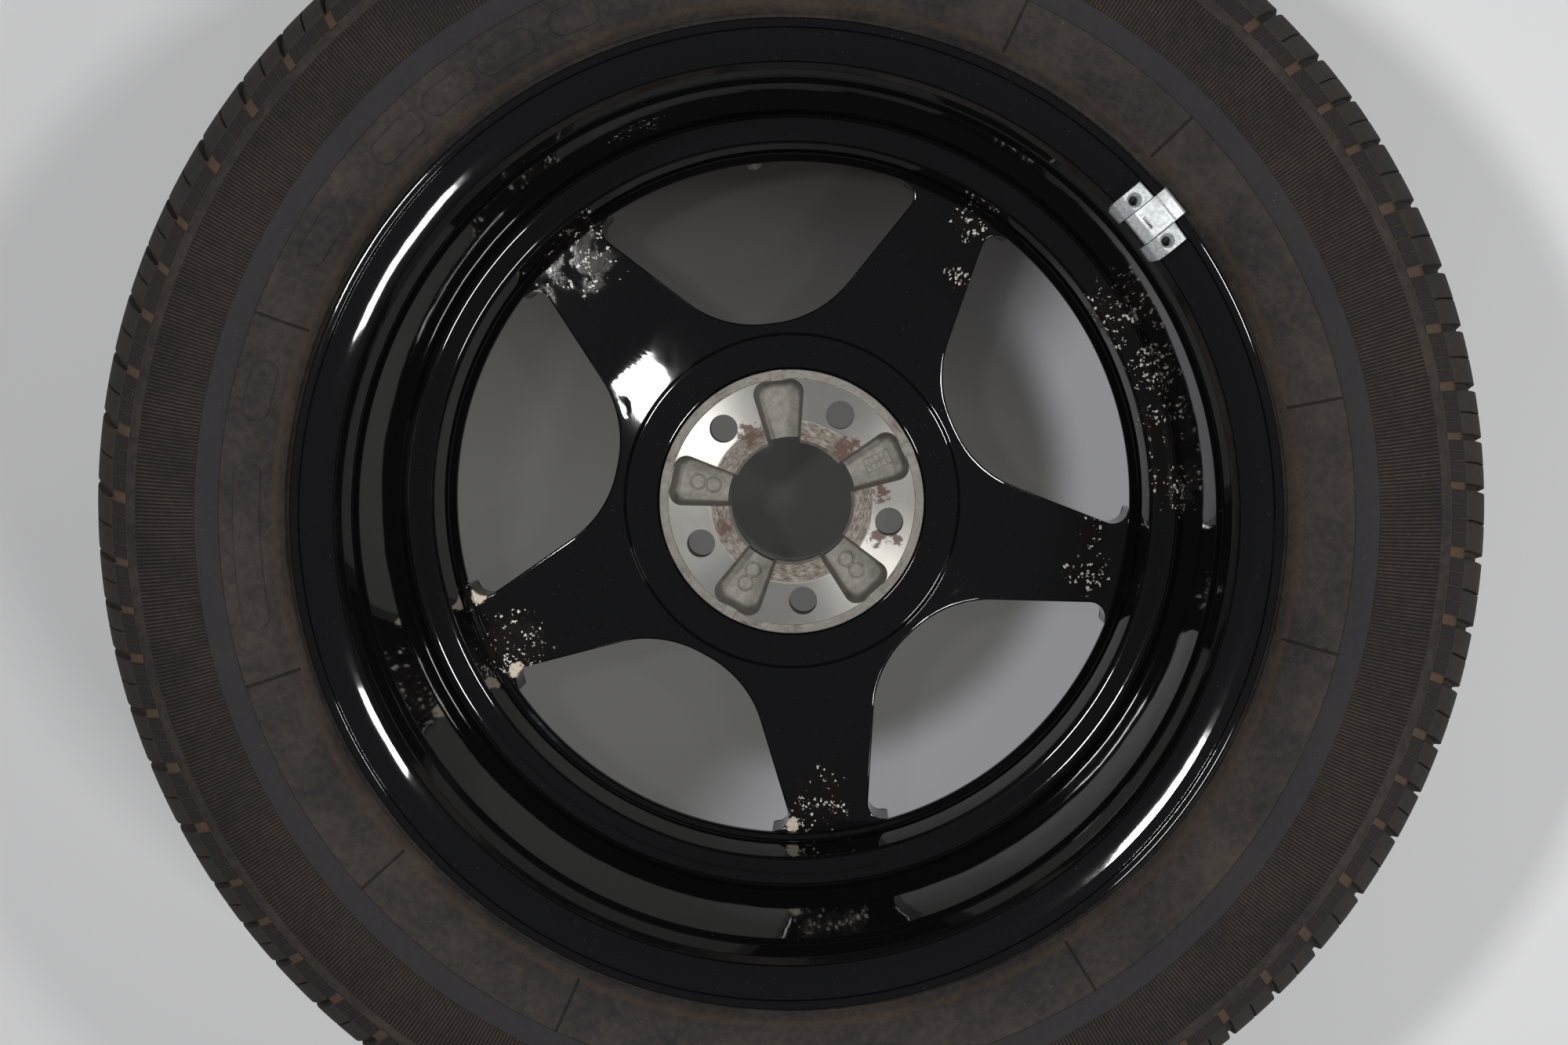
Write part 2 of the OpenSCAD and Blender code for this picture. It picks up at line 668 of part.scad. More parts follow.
alloy_wheel();
tyre();
weight_body();
weight_clip();
valve_body();
valve_stem();
valve_cap();
cap_seal();
core_plug();
core_barrel();
core_seal();
core_pin();
core_cup();
cup_seal();
core_spring();
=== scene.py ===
import math

import bpy
import numpy as np
from mathutils import Matrix, Vector


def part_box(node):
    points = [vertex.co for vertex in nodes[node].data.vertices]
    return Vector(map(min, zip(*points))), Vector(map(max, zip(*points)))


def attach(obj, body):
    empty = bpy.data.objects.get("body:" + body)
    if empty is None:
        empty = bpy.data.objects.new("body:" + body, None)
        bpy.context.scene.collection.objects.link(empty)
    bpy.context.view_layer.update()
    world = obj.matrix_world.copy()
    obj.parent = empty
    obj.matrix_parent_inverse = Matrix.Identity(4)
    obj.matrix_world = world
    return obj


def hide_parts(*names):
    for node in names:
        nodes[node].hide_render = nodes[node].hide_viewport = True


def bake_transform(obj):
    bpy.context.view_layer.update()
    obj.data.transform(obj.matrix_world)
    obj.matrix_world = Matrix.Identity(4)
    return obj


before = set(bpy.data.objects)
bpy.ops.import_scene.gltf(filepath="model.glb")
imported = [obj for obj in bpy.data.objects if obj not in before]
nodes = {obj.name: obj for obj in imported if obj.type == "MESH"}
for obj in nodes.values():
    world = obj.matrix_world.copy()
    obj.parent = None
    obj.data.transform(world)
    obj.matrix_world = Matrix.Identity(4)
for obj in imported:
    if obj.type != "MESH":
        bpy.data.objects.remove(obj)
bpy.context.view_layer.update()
bpy.ops.object.select_all(action="DESELECT")
scene = bpy.context.scene
scene.view_settings.view_transform = "Standard"

# Floor, light and camera. The wheel lies on its front on a pale floor. Soft lamps hang on
# both sides of the camera, which looks down at the back of the wheel.
MM = 0.001
lens = 47.95
camera_place = Vector((30.35, 76.27, 1080.9)) * MM
camera_right = Vector((0.999537, 0.0, -0.030414))
camera_up = Vector((-0.002349, 0.997014, -0.07718))
camera_back = camera_right.cross(camera_up)
floor_tone = (0.78, 0.78, 0.785, 1)
# Painted shade that the camera sees on the floor through the windows, darker at the top than at the lower
# right:
# its far end, top, lower part, right edge and the part behind the hub
shade_far = (0.012, 0.0105, 0.010, 1)
shade_top = (0.040, 0.038, 0.038, 1)
shade_low = (0.118, 0.117, 0.113, 1)
shade_edge = (0.31, 0.31, 0.325, 1)
shade_hub = (0.125, 0.124, 0.120, 1)
shade_share = 0.8
# Where each shade begins and is full, in metres: from the wheel's middle, or along a direction
under_reach = (0.33, 0.24)
lower_way, lower_reach = (-0.2, -0.98, 0), (-0.16, 0.06)
right_way, right_reach = (0.85, -0.53, 0), (0.03, 0.10)
outer_reach = (0.138, 0.170)
highest_reach = (0.12, 0.20)
hub_reach = (0.085, 0.078)
bore_reach, bore_share = (0.036, 0.042), 0.3
lamps = [
    # place, size, strength in watts
    ((-0.47, 0.22, 1.20), (0.16, 0.11), 8.5),
    ((0.60, -0.56, 1.20), (0.30, 0.14), 6.0),
    ((0.76, 0.31, 1.20), (0.18, 0.14), 6.5),
]
room_tone = (0.115, 0.117, 0.122, 1)


def add_node(tree, kind, inputs=None, **settings):
    """Adds a shader node. inputs maps a socket to a value or to another node's output."""
    made = tree.nodes.new(kind)
    for key, value in settings.items():
        setattr(made, key, value)
    for key, value in (inputs or {}).items():
        if isinstance(value, bpy.types.NodeSocket):
            tree.links.new(value, made.inputs[key])
        else:
            made.inputs[key].default_value = value
    return made


def new_material(name, base, roughness, metallic=0.0):
    """A material with one Principled shader. Returns the material, its node tree and the shader."""
    made = bpy.data.materials.new(name)
    made.use_nodes = True
    shader = made.node_tree.nodes["Principled BSDF"]
    shader.inputs["Base Color"].default_value = (*base, 1)
    shader.inputs["Roughness"].default_value = roughness
    shader.inputs["Metallic"].default_value = metallic
    return made, made.node_tree, shader


bpy.ops.mesh.primitive_plane_add(size=9, location=(0, 0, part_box("tyre")[0][2]))
floor = bpy.context.object
floor.name = "floor"
floor_paint, floor_tree, floor_shader = new_material("floor_paint", floor_tone[:3], 0.75)
floor.data.materials.append(floor_paint)


def calc(tree, operation, *values):
    """A Math node's result."""
    return add_node(tree, "ShaderNodeMath", dict(enumerate(values)), operation=operation).outputs[0]


def fade(tree, value, start, end):
    """0 where the value is at or before start, 1 at or past end, and smooth between them."""
    return add_node(tree, "ShaderNodeMapRange", {0: value, 1: start, 2: end, 3: 0.0, 4: 1.0},
        interpolation_type="SMOOTHSTEP").outputs[0]


def along_way(tree, place, way):
    """How far a place lies along a direction."""
    dot = add_node(tree, "ShaderNodeVectorMath", {0: place, 1: way}, operation="DOT_PRODUCT")
    return dot.outputs["Value"]


def blend_colour(tree, share, first, second):
    """Mixes two colours."""
    return add_node(tree, "ShaderNodeMix", {0: share, 6: first, 7: second}, data_type="RGBA").outputs[2]


tree = floor_tree
place = add_node(tree, "ShaderNodeTexCoord").outputs["Object"]
gap = add_node(tree, "ShaderNodeVectorMath", {0: place}, operation="LENGTH").outputs["Value"]
under = fade(tree, gap, *under_reach)
lower = fade(tree, along_way(tree, place, lower_way), *lower_reach)
right = fade(tree, along_way(tree, place, right_way), *right_reach)
right = calc(tree, "MULTIPLY", right, fade(tree, gap, *outer_reach))
highest = fade(tree, along_way(tree, place, (0, 1, 0)), *highest_reach)
by_hub = add_node(tree, "ShaderNodeMapRange", {0: gap, 1: hub_reach[0], 2: hub_reach[1]}).outputs[0]
in_bore = add_node(tree, "ShaderNodeMapRange", {0: gap, 1: bore_reach[0], 2: bore_reach[1], 3: bore_share,
    4: 1.0}).outputs[0]
# Painted shade under the wheel: the floor's colour darkens there, and camera and glossy rays see an emission
# in the painted shade tones
shade = blend_colour(tree, lower, shade_top, shade_low)
shade = blend_colour(tree, highest, shade, shade_far)
shade = blend_colour(tree, right, shade, shade_edge)
shade = blend_colour(tree, by_hub, shade, shade_hub)
shown = add_node(tree, "ShaderNodeEmission", {"Color": shade, "Strength": in_bore})
light_path = add_node(tree, "ShaderNodeLightPath").outputs
seen = calc(tree, "MAXIMUM", light_path["Is Camera Ray"], light_path["Is Glossy Ray"])
shown_share = calc(tree, "MULTIPLY", calc(tree, "MULTIPLY", seen, under), shade_share)
tree.links.new(blend_colour(tree, under, floor_tone, shade_low), floor_shader.inputs["Base Color"])
both = add_node(tree, "ShaderNodeMixShader", {0: shown_share, 1: floor_shader.outputs[0],
    2: shown.outputs[0]})
tree.links.new(both.outputs[0], tree.nodes["Material Output"].inputs["Surface"])

world = bpy.data.worlds.new("room")
world.use_nodes = True
world.node_tree.nodes["Background"].inputs["Color"].default_value = room_tone
scene.world = world

for place, size, watts in lamps:
    bpy.ops.object.light_add(type="AREA", location=place)
    lamp = bpy.context.object
    lamp.data.shape = "RECTANGLE"
    lamp.data.size, lamp.data.size_y = size
    lamp.data.energy = watts
    lamp.rotation_euler = (-Vector(place)).to_track_quat("-Z", "Y").to_euler()

bpy.ops.object.camera_add()
camera = bpy.context.object
camera.data.sensor_width = 36
camera.data.lens = lens
camera.data.clip_start = 0.01
axes = Matrix((camera_right, camera_up, camera_back)).transposed().to_4x4()
camera.matrix_world = Matrix.Translation(camera_place) @ axes
scene.camera = camera

# Alloy wheel. One aluminium casting: the rim is turned, the hub face is machined bare, and the rest is
# painted gloss black. The paint has lifted in corroded patches at the ends of the spokes.
SPOKES = 5
spoke_az = math.radians(60.75)
window_az = spoke_az - math.pi / SPOKES
half_turn = math.pi / SPOKES
window_r = 183.0
hub_r = 92.0
pad_r = 71.65
face_z = -47
pocket_floor_z = -61.1
rim_section = [
    # tyre side of the inboard flange, bead seat and well: radius, height, corner radius
    (235.6, 94.9, 1.2), (231.4, 88.9, 9.5), (218.3, 88.9, 6.5), (216.57, 69.1, 0.8), (217.6, 65.1, 3),
    (213.6, 55.1, 12), (209.3, -15, 8), (195.3, -24, 8), (195.3, -45, 6), (215.8, -59.36, 3),
    # outboard bead seat and flange
    (217.6, -65.1, 3), (216.57, -69.1, 0.8), (218.3, -88.9, 6.5), (231.4, -88.9, 9.5), (235.6, -94.9, 1.2),
    # outboard face and the ledge round the windows
    (235.2, -98.1, 2), (229.6, -98.4, 2), (216.1, -89.9, 6), (213.3, -80.9, 5), (213.0, -66.06, 5),
    (204.0, -57.6, 6), (183, -58, 2.4), (183, -52.5, 2.4), (187, -49, 3),
    # inside of the barrel and the back of the inboard flange
    (190, -21.2, 4), (204.3, -20.4, 6), (209.0, 66.1, 1.5), (211.57, 69.6, 1.5), (213.3, 83.9, 3),
    (216.1, 90.8, 4), (219.4, 92.7, 67), (222.6, 94.35, 67), (225.8, 95.75, 2), (230.4, 96.7, 0.4),
    (231.2, 98.15, 0.9), (235.3, 98.4, 1.7),
]
hub_back = [
    (104, -53.4, 0), (91.5, -52.0, 2.5), (90, -50.9, 2.5), (72.45, -50.2, 1.5), (pad_r, -47.5, 0.8),
    (67.05, -47.5, 0), (66.65, -47, 0), (44, -47, 0), (34.3, -47, 0), (32.55, -48.75, 0), (32.55, -59, 0),
    (34.95, -60.5, 0), (34.95, -72, 0), (37.95, -72, 0), (39.95, -82, 3), (81, -81, 20), (104, -80.2, 0),
]
spoke_back = [(104, -53.4, 0), (118, -54.95, 20), (184.5, -54.5, 3), (202.3, -56.5, 0), (214.3, -66.4, 0)]
spoke_front = [(92, -80.6), (104, -80.2), (136, -81.75), (214.3, -84.5)]
bolt_circle_r = 54
bolt_hole_section = [
    (0, -46), (7.65, -46), (7.65, -62), (12.85, -70), (13.85, -70.01), (13.85, -92), (0, -92),
]
# A window's outline: the long round beside the hub, and the small one at its outer corner
inner_mid, inner_round = (157.2, 2.2755), 60
corner_mid, corner_round = (156.987, 76.192), 8.5
spoke_half_w = 33.2
# How far the pocket's cutter goes down at each step, and its width there as a share
pocket_top, pocket_mid = -45.5, 40
pocket_steps = [(1.9, 0.985), (9.5, 0.915), (2.5, 0.955), (1.2, 0.94), (0.5, 0.9)]
notch_place, notch_size = Vector((69, 0, -46.9)), Vector((10, 7, 3))
# The edge of a spoke is rounded, and its back falls softly towards the edge
edge_round = 1.0
front_round = 4.0
pillow_width = 20.0
pillow_drop = 0.35
pillow_end_r, pillow_fade = 190, 14
# Corroded places: x, y, z, reach
rust_spots = [
    (-112.8, 131.5, -56, 30), (-136.5, 108.2, -56, 14), (-93, 148, -56, 14), (97.2, 150, -56, 15),
    (91, 122.8, -56, 11), (168.9, 100.8, -20, 26), (193.8, 72.3, -20, 24), (190, 40, -20, 20),
    (202.8, 10.7, -20, 22), (160.3, -38.6, -56, 18), (162.2, -17.2, -56, 12), (-151.1, -78.7, -56, 27),
    (-172.6, -52.7, -56, 14), (-149.1, -91.7, -56, 12), (15.2, -165.1, -56, 24), (0, -176.2, -56, 10),
    (-80.9, 202.2, 20, 26),
]
# Places where the corner of a window has lost its paint altogether
bare_corners = [(-172.6, -52.7, -56, 7), (-151.5, -93.5, -58, 8), (0.5, -179, -56, 6), (-138, 111, -58, 7),
    (-96, 152, -58, 6), (98, 158, -58, 6)]
# Rust stains on the bare hub face: x, y, z, reach
stain_spots = [
    (48.5, 5, -47, 9), (46.4, -18.8, -47, 9), (57, -20, -47, 6), (30, 26, -47, 15), (-22, 36, -47, 12),
    (62, 24, -47, 9), (-36, -14, -47, 8),
]


def rounded(rows, steps):
    """Outline with its corners rounded. Each row is x, y and the radius of that corner."""
    points = []
    for i, (x, y, radius) in enumerate(rows):
        corner = Vector((x, y))
        if radius == 0:
            points.append((x, y))
            continue
        before = (Vector(rows[i - 1][:2]) - corner).normalized()
        after = (Vector(rows[(i + 1) % len(rows)][:2]) - corner).normalized()
        half = math.acos(before.dot(after)) / 2
        middle = corner + (before + after).normalized() * radius / math.sin(half)
        first = corner + before * radius / math.tan(half) - middle
        last = corner + after * radius / math.tan(half) - middle
        start = math.atan2(first.y, first.x)
        turn = (math.atan2(last.y, last.x) - start + math.pi) % (2 * math.pi) - math.pi
        for k in range(steps + 1):
            a = start + turn * k / steps
            points.append((middle.x + radius * math.cos(a), middle.y + radius * math.sin(a)))
    return points


def supported(points):
    """Adds a point near each end of an outline's long sides, which keeps them flat when shaded smooth."""
    made = []
    for i, point in enumerate(points):
        before = Vector(points[i - 1])
        here = Vector(point)
        if (here - before).length > 3:
            step = (here - before).normalized() * 0.4
            made += [tuple(before + step), tuple(here - step)]
        made.append(tuple(here))
    return made


def turned(name, outline, steps):
    """Spins a closed outline of radii and heights, in millimetres, round the wheel's spin axis."""
    bpy.ops.object.select_all(action="DESELECT")
    bpy.ops.mesh.primitive_circle_add(vertices=len(outline))
    piece = bpy.context.object
    piece.name = name
    for vertex, (radius, height) in zip(piece.data.vertices, outline):
        vertex.co = (radius * MM, 0, height * MM)
    bpy.ops.object.mode_set(mode="EDIT")
    bpy.ops.mesh.select_all(action="SELECT")
    bpy.ops.mesh.spin(steps=steps, angle=2 * math.pi, center=(0, 0, 0), axis=(0, 0, 1))
    bpy.ops.mesh.select_all(action="SELECT")
    bpy.ops.mesh.remove_doubles(threshold=1e-6)
    bpy.ops.mesh.normals_make_consistent(inside=False)
    bpy.ops.object.mode_set(mode="OBJECT")
    return piece


def picked(piece):
    """Makes a piece the one that the editing tools work on."""
    bpy.ops.object.select_all(action="DESELECT")
    piece.select_set(True)
    bpy.context.view_layer.objects.active = piece


def from_points(name, points, faces, merge):
    """A piece from points in millimetres and faces. Points closer than merge, in metres, become one."""
    mesh = bpy.data.meshes.new(name)
    mesh.from_pydata((points * MM).tolist(), [], faces)
    piece = bpy.data.objects.new(name, mesh)
    scene.collection.objects.link(piece)
    picked(piece)
    bpy.ops.object.mode_set(mode="EDIT")
    bpy.ops.mesh.select_all(action="SELECT")
    if merge:
        bpy.ops.mesh.remove_doubles(threshold=merge)
    bpy.ops.mesh.normals_make_consistent(inside=False)
    bpy.ops.object.mode_set(mode="OBJECT")
    return piece


def joined(pieces):
    """Joins pieces into the first one."""
    bpy.ops.object.select_all(action="DESELECT")
    for piece in pieces:
        piece.select_set(True)
    bpy.context.view_layer.objects.active = pieces[0]
    bpy.ops.object.join()
    return bpy.context.object


def cut_from(piece, cutter):
    """Cuts a closed shape out of a piece."""
    picked(piece)
    cut = piece.modifiers.new("cut", "BOOLEAN")
    cut.operation = "DIFFERENCE"
    cut.solver = "EXACT"
    cut.object = cutter
    bpy.ops.object.modifier_apply(modifier=cut.name)
    bpy.data.objects.remove(cutter)


def smoothed(piece, degrees):
    """Shades a piece smooth, apart from edges sharper than an angle."""
    picked(piece)
    bpy.ops.object.shade_smooth_by_angle(angle=math.radians(degrees))


def window_flank():
    """Half of a window's outline and the flank of the spoke beside it, in the spoke's own frame."""
    arc = np.radians(np.linspace(0, 44, 13))
    path = [(inner_mid[0] - inner_round, 0.0)]
    mid_u, mid_w = inner_mid
    path += [(mid_u - inner_round * math.cos(a), mid_w + inner_round * math.sin(a)) for a in arc]
    turn = np.radians(np.linspace(136, 25.889, 12))
    mid_u, mid_w = corner_mid
    corner = [(mid_u + corner_round * math.cos(a), mid_w + corner_round * math.sin(a)) for a in turn]
    last = path[-1]
    for k in range(1, 12):
        path.append(tuple(np.add(last, np.subtract(corner[0], last) * k / 12)))
    path += corner
    c, s = math.cos(half_turn), math.sin(half_turn)
    flank = [(u * c + w * s, u * s - w * c) for u, w in path]
    return flank + [(u, spoke_half_w) for u in (186, 196, 206, 214.3)]


def spider_half():
    """Points and faces of half a spoke with its share of the hub, as rows from the flank to the middle."""
    flank = np.array(window_flank())
    hub_rows = 15
    back_rows = supported(rounded(hub_back, 5))
    top = [p for p in back_rows if p[1] > -58]
    rise_r = [p[0] for p in rounded(spoke_back, 8)]
    rise_z = [p[1] for p in rounded(spoke_back, 8)]
    outer_top = sorted(p for p in top if p[0] > 72.4) + list(zip(rise_r[1:], rise_z[1:]))
    front_r, front_z = zip(*spoke_front)
    # Fine steps along the flank, for the distance of any point from the window's edge
    pairs = zip(flank, flank[1:])
    fine = np.concatenate([np.linspace(start, end, 8, endpoint=False) for start, end in pairs])
    fine = np.concatenate([fine, fine * (1, -1)])
    mirrored = fine @ np.array([[math.cos(2 * half_turn), math.sin(2 * half_turn)],
        [math.sin(2 * half_turn), -math.cos(2 * half_turn)]])
    fine = np.concatenate([fine, mirrored])
    fine = fine[np.hypot(fine[:, 0], fine[:, 1]) < window_r]

    def lowered(x, y):
        d = np.min(np.hypot(fine[:, 0] - x, fine[:, 1] - y))
        if d < 0.05:
            d = 0.0
        soft = pillow_drop * max(0.0, 1 - d / pillow_width) ** 2
        ending = min(1.0, max(0.0, (pillow_end_r - math.hypot(x, y)) / pillow_fade))
        return d, soft * ending

    def bend(d, radius):
        return radius - math.sqrt(radius ** 2 - (radius - d) ** 2) if d < radius else 0.0

    def back_z(x, y):
        d, soft = lowered(x, y)
        r = math.hypot(x, y)
        return np.interp(r, *zip(*outer_top)) - bend(d, edge_round) - soft

    def front_at(x, y):
        d, soft = lowered(x, y)
        return np.interp(math.hypot(x, y), front_r, front_z) + bend(d, front_round) + 1.6 * soft

    points = []
    grid = []
    for i, edge in enumerate(flank):
        if i <= hub_rows:
            a = half_turn * (1 - i / hub_rows)
            inner = np.array([hub_r * math.cos(a), hub_r * math.sin(a)])
        else:
            share = min(1.0, (i - hub_rows) / (len(flank) - 4 - hub_rows))
            inner = np.array([hub_r + (edge[0] - hub_r) * share ** 0.8, 0.0])
        length = np.hypot(*(edge - inner))
        near = np.array([0, 0.12, 0.45, 0.9, 1.5, 2.2, 3.0, 4.2]) * min(1.0, length / 9)
        along = np.concatenate([near, np.linspace(near[-1], length, 9)[1:]]) / length
        row = [edge + (inner - edge) * t for t in along]
        back = [(x, y, back_z(x, y)) for x, y in row]
        front = [(x, y, front_at(x, y)) for x, y in row]
        wall = [tuple(np.add(back[0], np.subtract(front[0], back[0]) * k / 5)) for k in range(1, 5)]
        strip = back[::-1] + wall + front
        grid.append(list(range(len(points), len(points) + len(strip))))
        points += strip
    faces = []
    for a, b in zip(grid, grid[1:]):
        faces += [(a[k], a[k + 1], b[k + 1], b[k]) for k in range(len(a) - 1)]
    end = grid[-1]
    faces += [(end[k], end[k + 1], end[-2 - k], end[-1 - k]) for k in range(len(end) // 2 - 1)]
    rings = [p for p in back_rows if p[0] < hub_r - 0.01]
    hub_grid = []
    for i in range(hub_rows + 1):
        a = half_turn * (1 - i / hub_rows)
        ring = []
        for radius, height in rings:
            x, y = radius * math.cos(a), radius * math.sin(a)
            soft = lowered(x, y)[1] if radius > 72.4 else 0.0
            ring.append((x, y, height - soft if height > -60 else height + 1.6 * soft))
        first = len(points)
        points += ring
        hub_grid.append([grid[i][0]] + list(range(first, first + len(ring))) + [grid[i][-1]])
    for a, b in zip(hub_grid, hub_grid[1:]):
        faces += [(a[k], a[k + 1], b[k + 1], b[k]) for k in range(len(a) - 1)]
    return np.array(points), faces


def spider():
    """The five spokes and the hub, from ten mirrored and turned halves."""
    points, faces = spider_half()
    all_points, all_faces = [], []
    for i in range(SPOKES):
        a = spoke_az + 2 * half_turn * i
        for side in (1, -1):
            x, y = points[:, 0], points[:, 1] * side
            first = len(all_points) * len(points)
            turned_x, turned_y = x * math.cos(a) - y * math.sin(a), x * math.sin(a) + y * math.cos(a)
            all_points.append(np.stack([turned_x, turned_y, points[:, 2]], axis=1))
            all_faces += [tuple(first + k for k in (f if side > 0 else f[::-1])) for f in faces]
    return from_points("spider", np.concatenate(all_points), all_faces, 1e-5)


def pocket_cutter():
    """Shape of a cast pocket: sloped walls that round into the floor, and a notch in the edge of the pad."""
    outline = rounded([(24.55, -7.5, 0), (66.45, -15.2, 7), (66.45, 15.2, 7), (24.55, 7.5, 0)], 8)
    bpy.ops.object.select_all(action="DESELECT")
    bpy.ops.mesh.primitive_circle_add(vertices=len(outline), fill_type="NGON")
    piece = bpy.context.object
    for vertex, (x, y) in zip(piece.data.vertices, outline):
        vertex.co = (x * MM, y * MM, pocket_top * MM)
    bpy.ops.object.mode_set(mode="EDIT")
    bpy.ops.mesh.select_all(action="SELECT")
    for down, scale in pocket_steps:
        bpy.ops.mesh.extrude_region_move(TRANSFORM_OT_translate={"value": (0, 0, -down * MM)})
        bpy.ops.transform.resize(value=(1 - (1 - scale) * 0.6, scale, 1),
            center_override=(pocket_mid * MM, 0, 0))
    bpy.ops.mesh.select_all(action="SELECT")
    bpy.ops.mesh.normals_make_consistent(inside=False)
    bpy.ops.object.mode_set(mode="OBJECT")
    bpy.ops.mesh.primitive_cube_add(size=1, location=notch_place * MM, scale=notch_size * MM)
    notch = bpy.context.object
    bpy.ops.object.transform_apply(location=True, rotation=True, scale=True)
    return [piece, notch]


def turned_copies(piece, first_az):
    """Copies of a piece, each with its own mesh, turned to the five places round the hub."""
    copies = []
    for i in range(SPOKES):
        made = bpy.data.objects.new(piece.name, piece.data.copy())
        made.data.transform(Matrix.Rotation(first_az + 2 * half_turn * i, 4, "Z"))
        scene.collection.objects.link(made)
        copies.append(made)
    bpy.data.objects.remove(piece)
    return copies


hub = spider()
pocket, notch = pocket_cutter()
bolt_hole = turned("bolt_hole", bolt_hole_section, 48)
bolt_hole.data.transform(Matrix.Translation((bolt_circle_r * MM, 0, 0)))
cut_from(hub, joined(turned_copies(pocket, window_az)))
cut_from(hub, joined(turned_copies(notch, window_az)))
cut_from(hub, joined(turned_copies(bolt_hole, spoke_az)))
rim = turned("alloy_wheel_finish", supported(rounded(rim_section, 7)), 288)

valve_az = math.radians(96.75)
valve_tilt = math.radians(55)
valve_seat = Vector((205.55, 0, -52.18)) * MM
valve_place = (Matrix.Rotation(valve_az, 4, "Z") @ Matrix.Translation(valve_seat)
    @ Matrix.Rotation(math.radians(270) - valve_tilt, 4, "Y"))
valve_recess = turned("valve_recess", [(0, 4.5), (11.25, 4.5), (11.25, 24.5), (0, 24.5)], 64)
valve_recess.data.transform(valve_place)
cut_from(rim, valve_recess)

paint_black = (0.0035, 0.0035, 0.004)
wheel_paint, tree, shader = new_material("gloss_black_paint", paint_black, 0.07)
place = add_node(tree, "ShaderNodeTexCoord").outputs["Object"]
axes = add_node(tree, "ShaderNodeSeparateXYZ", {0: place}).outputs


def speckle(tree, vector, scale, detail=3.0, rough=0.5):
    """A noise pattern, about 0 to 1. scale is in patches a metre."""
    return add_node(tree, "ShaderNodeTexNoise", {"Vector": vector, "Scale": scale, "Detail": detail,
        "Roughness": rough}).outputs["Fac"]


def from_axis(tree, axes):
    """Distance from the wheel's spin axis, or the length of any two sides at right angles."""
    return calc(tree, "SQRT", calc(tree, "ADD", calc(tree, "MULTIPLY", axes[0], axes[0]),
        calc(tree, "MULTIPLY", axes[1], axes[1])))


def band(tree, value, low, high, soft=0.3):
    """1 between two distances in millimetres, 0 outside them."""
    return calc(tree, "MULTIPLY", fade(tree, value, (low - soft) * MM, (low + soft) * MM),
        fade(tree, value, (high + soft) * MM, (high - soft) * MM))


def raised(tree, shader, relief):
    """Bumps a shader's surface by a height in metres."""
    bump = add_node(tree, "ShaderNodeBump", {"Strength": 1.0, "Distance": 1.0, "Height": relief})
    tree.links.new(bump.outputs[0], shader.inputs["Normal"])


def near_places(tree, place, places):
    """1 at the middle of the nearest of several places, falling to 0 at its reach. Sizes in millimetres."""
    nearest = None
    for x, y, z, reach in places:
        gap = add_node(tree, "ShaderNodeVectorMath", {0: place, 1: (x * MM, y * MM, z * MM)},
            operation="DISTANCE").outputs["Value"]
        share = add_node(tree, "ShaderNodeMapRange", {0: gap, 1: 0.0, 2: reach * MM, 3: 1.0,
            4: 0.0}).outputs[0]
        nearest = share if nearest is None else calc(tree, "MAXIMUM", nearest, share)
    return nearest


radius = from_axis(tree, axes)
# Bare metal: the pad with its pockets, holes and bore
on_pad = calc(tree, "MULTIPLY", fade(tree, radius, (pad_r + 0.1) * MM, (pad_r - 0.1) * MM),
    fade(tree, axes[2], -63 * MM, -62.8 * MM))
on_face = fade(tree, axes[2], (face_z - 0.15) * MM, (face_z - 0.05) * MM)
grain = speckle(tree, place, 260.0, 6.0, 0.65)
coarse = speckle(tree, place, 60.0, 4.0, 0.6)
cast_tone = blend_colour(tree, fade(tree, grain, 0.25, 0.75), (0.165, 0.15, 0.13, 1),
    (0.25, 0.235, 0.21, 1))
face_tone = blend_colour(tree, coarse, (0.32, 0.305, 0.28, 1), (0.45, 0.435, 0.405, 1))
# The ring inside the bolt holes and the unmachined edge of the pad are rough and stained
rough_ring = calc(tree, "MAXIMUM", fade(tree, radius, 45 * MM, 43.4 * MM),
    fade(tree, radius, 66.4 * MM, 66.8 * MM))
round_place = add_node(tree, "ShaderNodeCombineXYZ", {0: calc(tree, "MULTIPLY", radius, 1700.0),
    1: calc(tree, "MULTIPLY", calc(tree, "ARCTAN2", axes[1], axes[0]), 9.0)}).outputs[0]
streaks = calc(tree, "MULTIPLY", speckle(tree, round_place, 1.0, 4.0, 0.6), 0.6)
streaks = calc(tree, "ADD", streaks, calc(tree, "MULTIPLY", grain, 0.4))
ring_tone = blend_colour(tree, fade(tree, streaks, 0.38, 0.62), (0.085, 0.060, 0.044, 1),
    (0.28, 0.255, 0.22, 1))
stain = calc(tree, "MULTIPLY", near_places(tree, place, stain_spots),
    calc(tree, "SUBTRACT", calc(tree, "MULTIPLY", grain, 5.0), 1.6))
stain = fade(tree, stain, 0.25, 0.6)
face_tone = blend_colour(tree, rough_ring, face_tone, ring_tone)
face_tone = blend_colour(tree, calc(tree, "MULTIPLY", stain, 0.9), face_tone, (0.070, 0.026, 0.011, 1))
pad_edge = calc(tree, "MULTIPLY", fade(tree, radius, 66.6 * MM, 67.0 * MM),
    fade(tree, axes[2], -48.4 * MM, -48.1 * MM))
edge_dirt = calc(tree, "ADD", streaks, calc(tree, "MULTIPLY", coarse, 0.6))
pad_edge = calc(tree, "MULTIPLY", pad_edge, fade(tree, edge_dirt, 0.82, 0.96))
cast_tone = blend_colour(tree, calc(tree, "MULTIPLY", pad_edge, 0.75), cast_tone, (0.075, 0.050, 0.036, 1))
metal_tone = blend_colour(tree, on_face, cast_tone, face_tone)
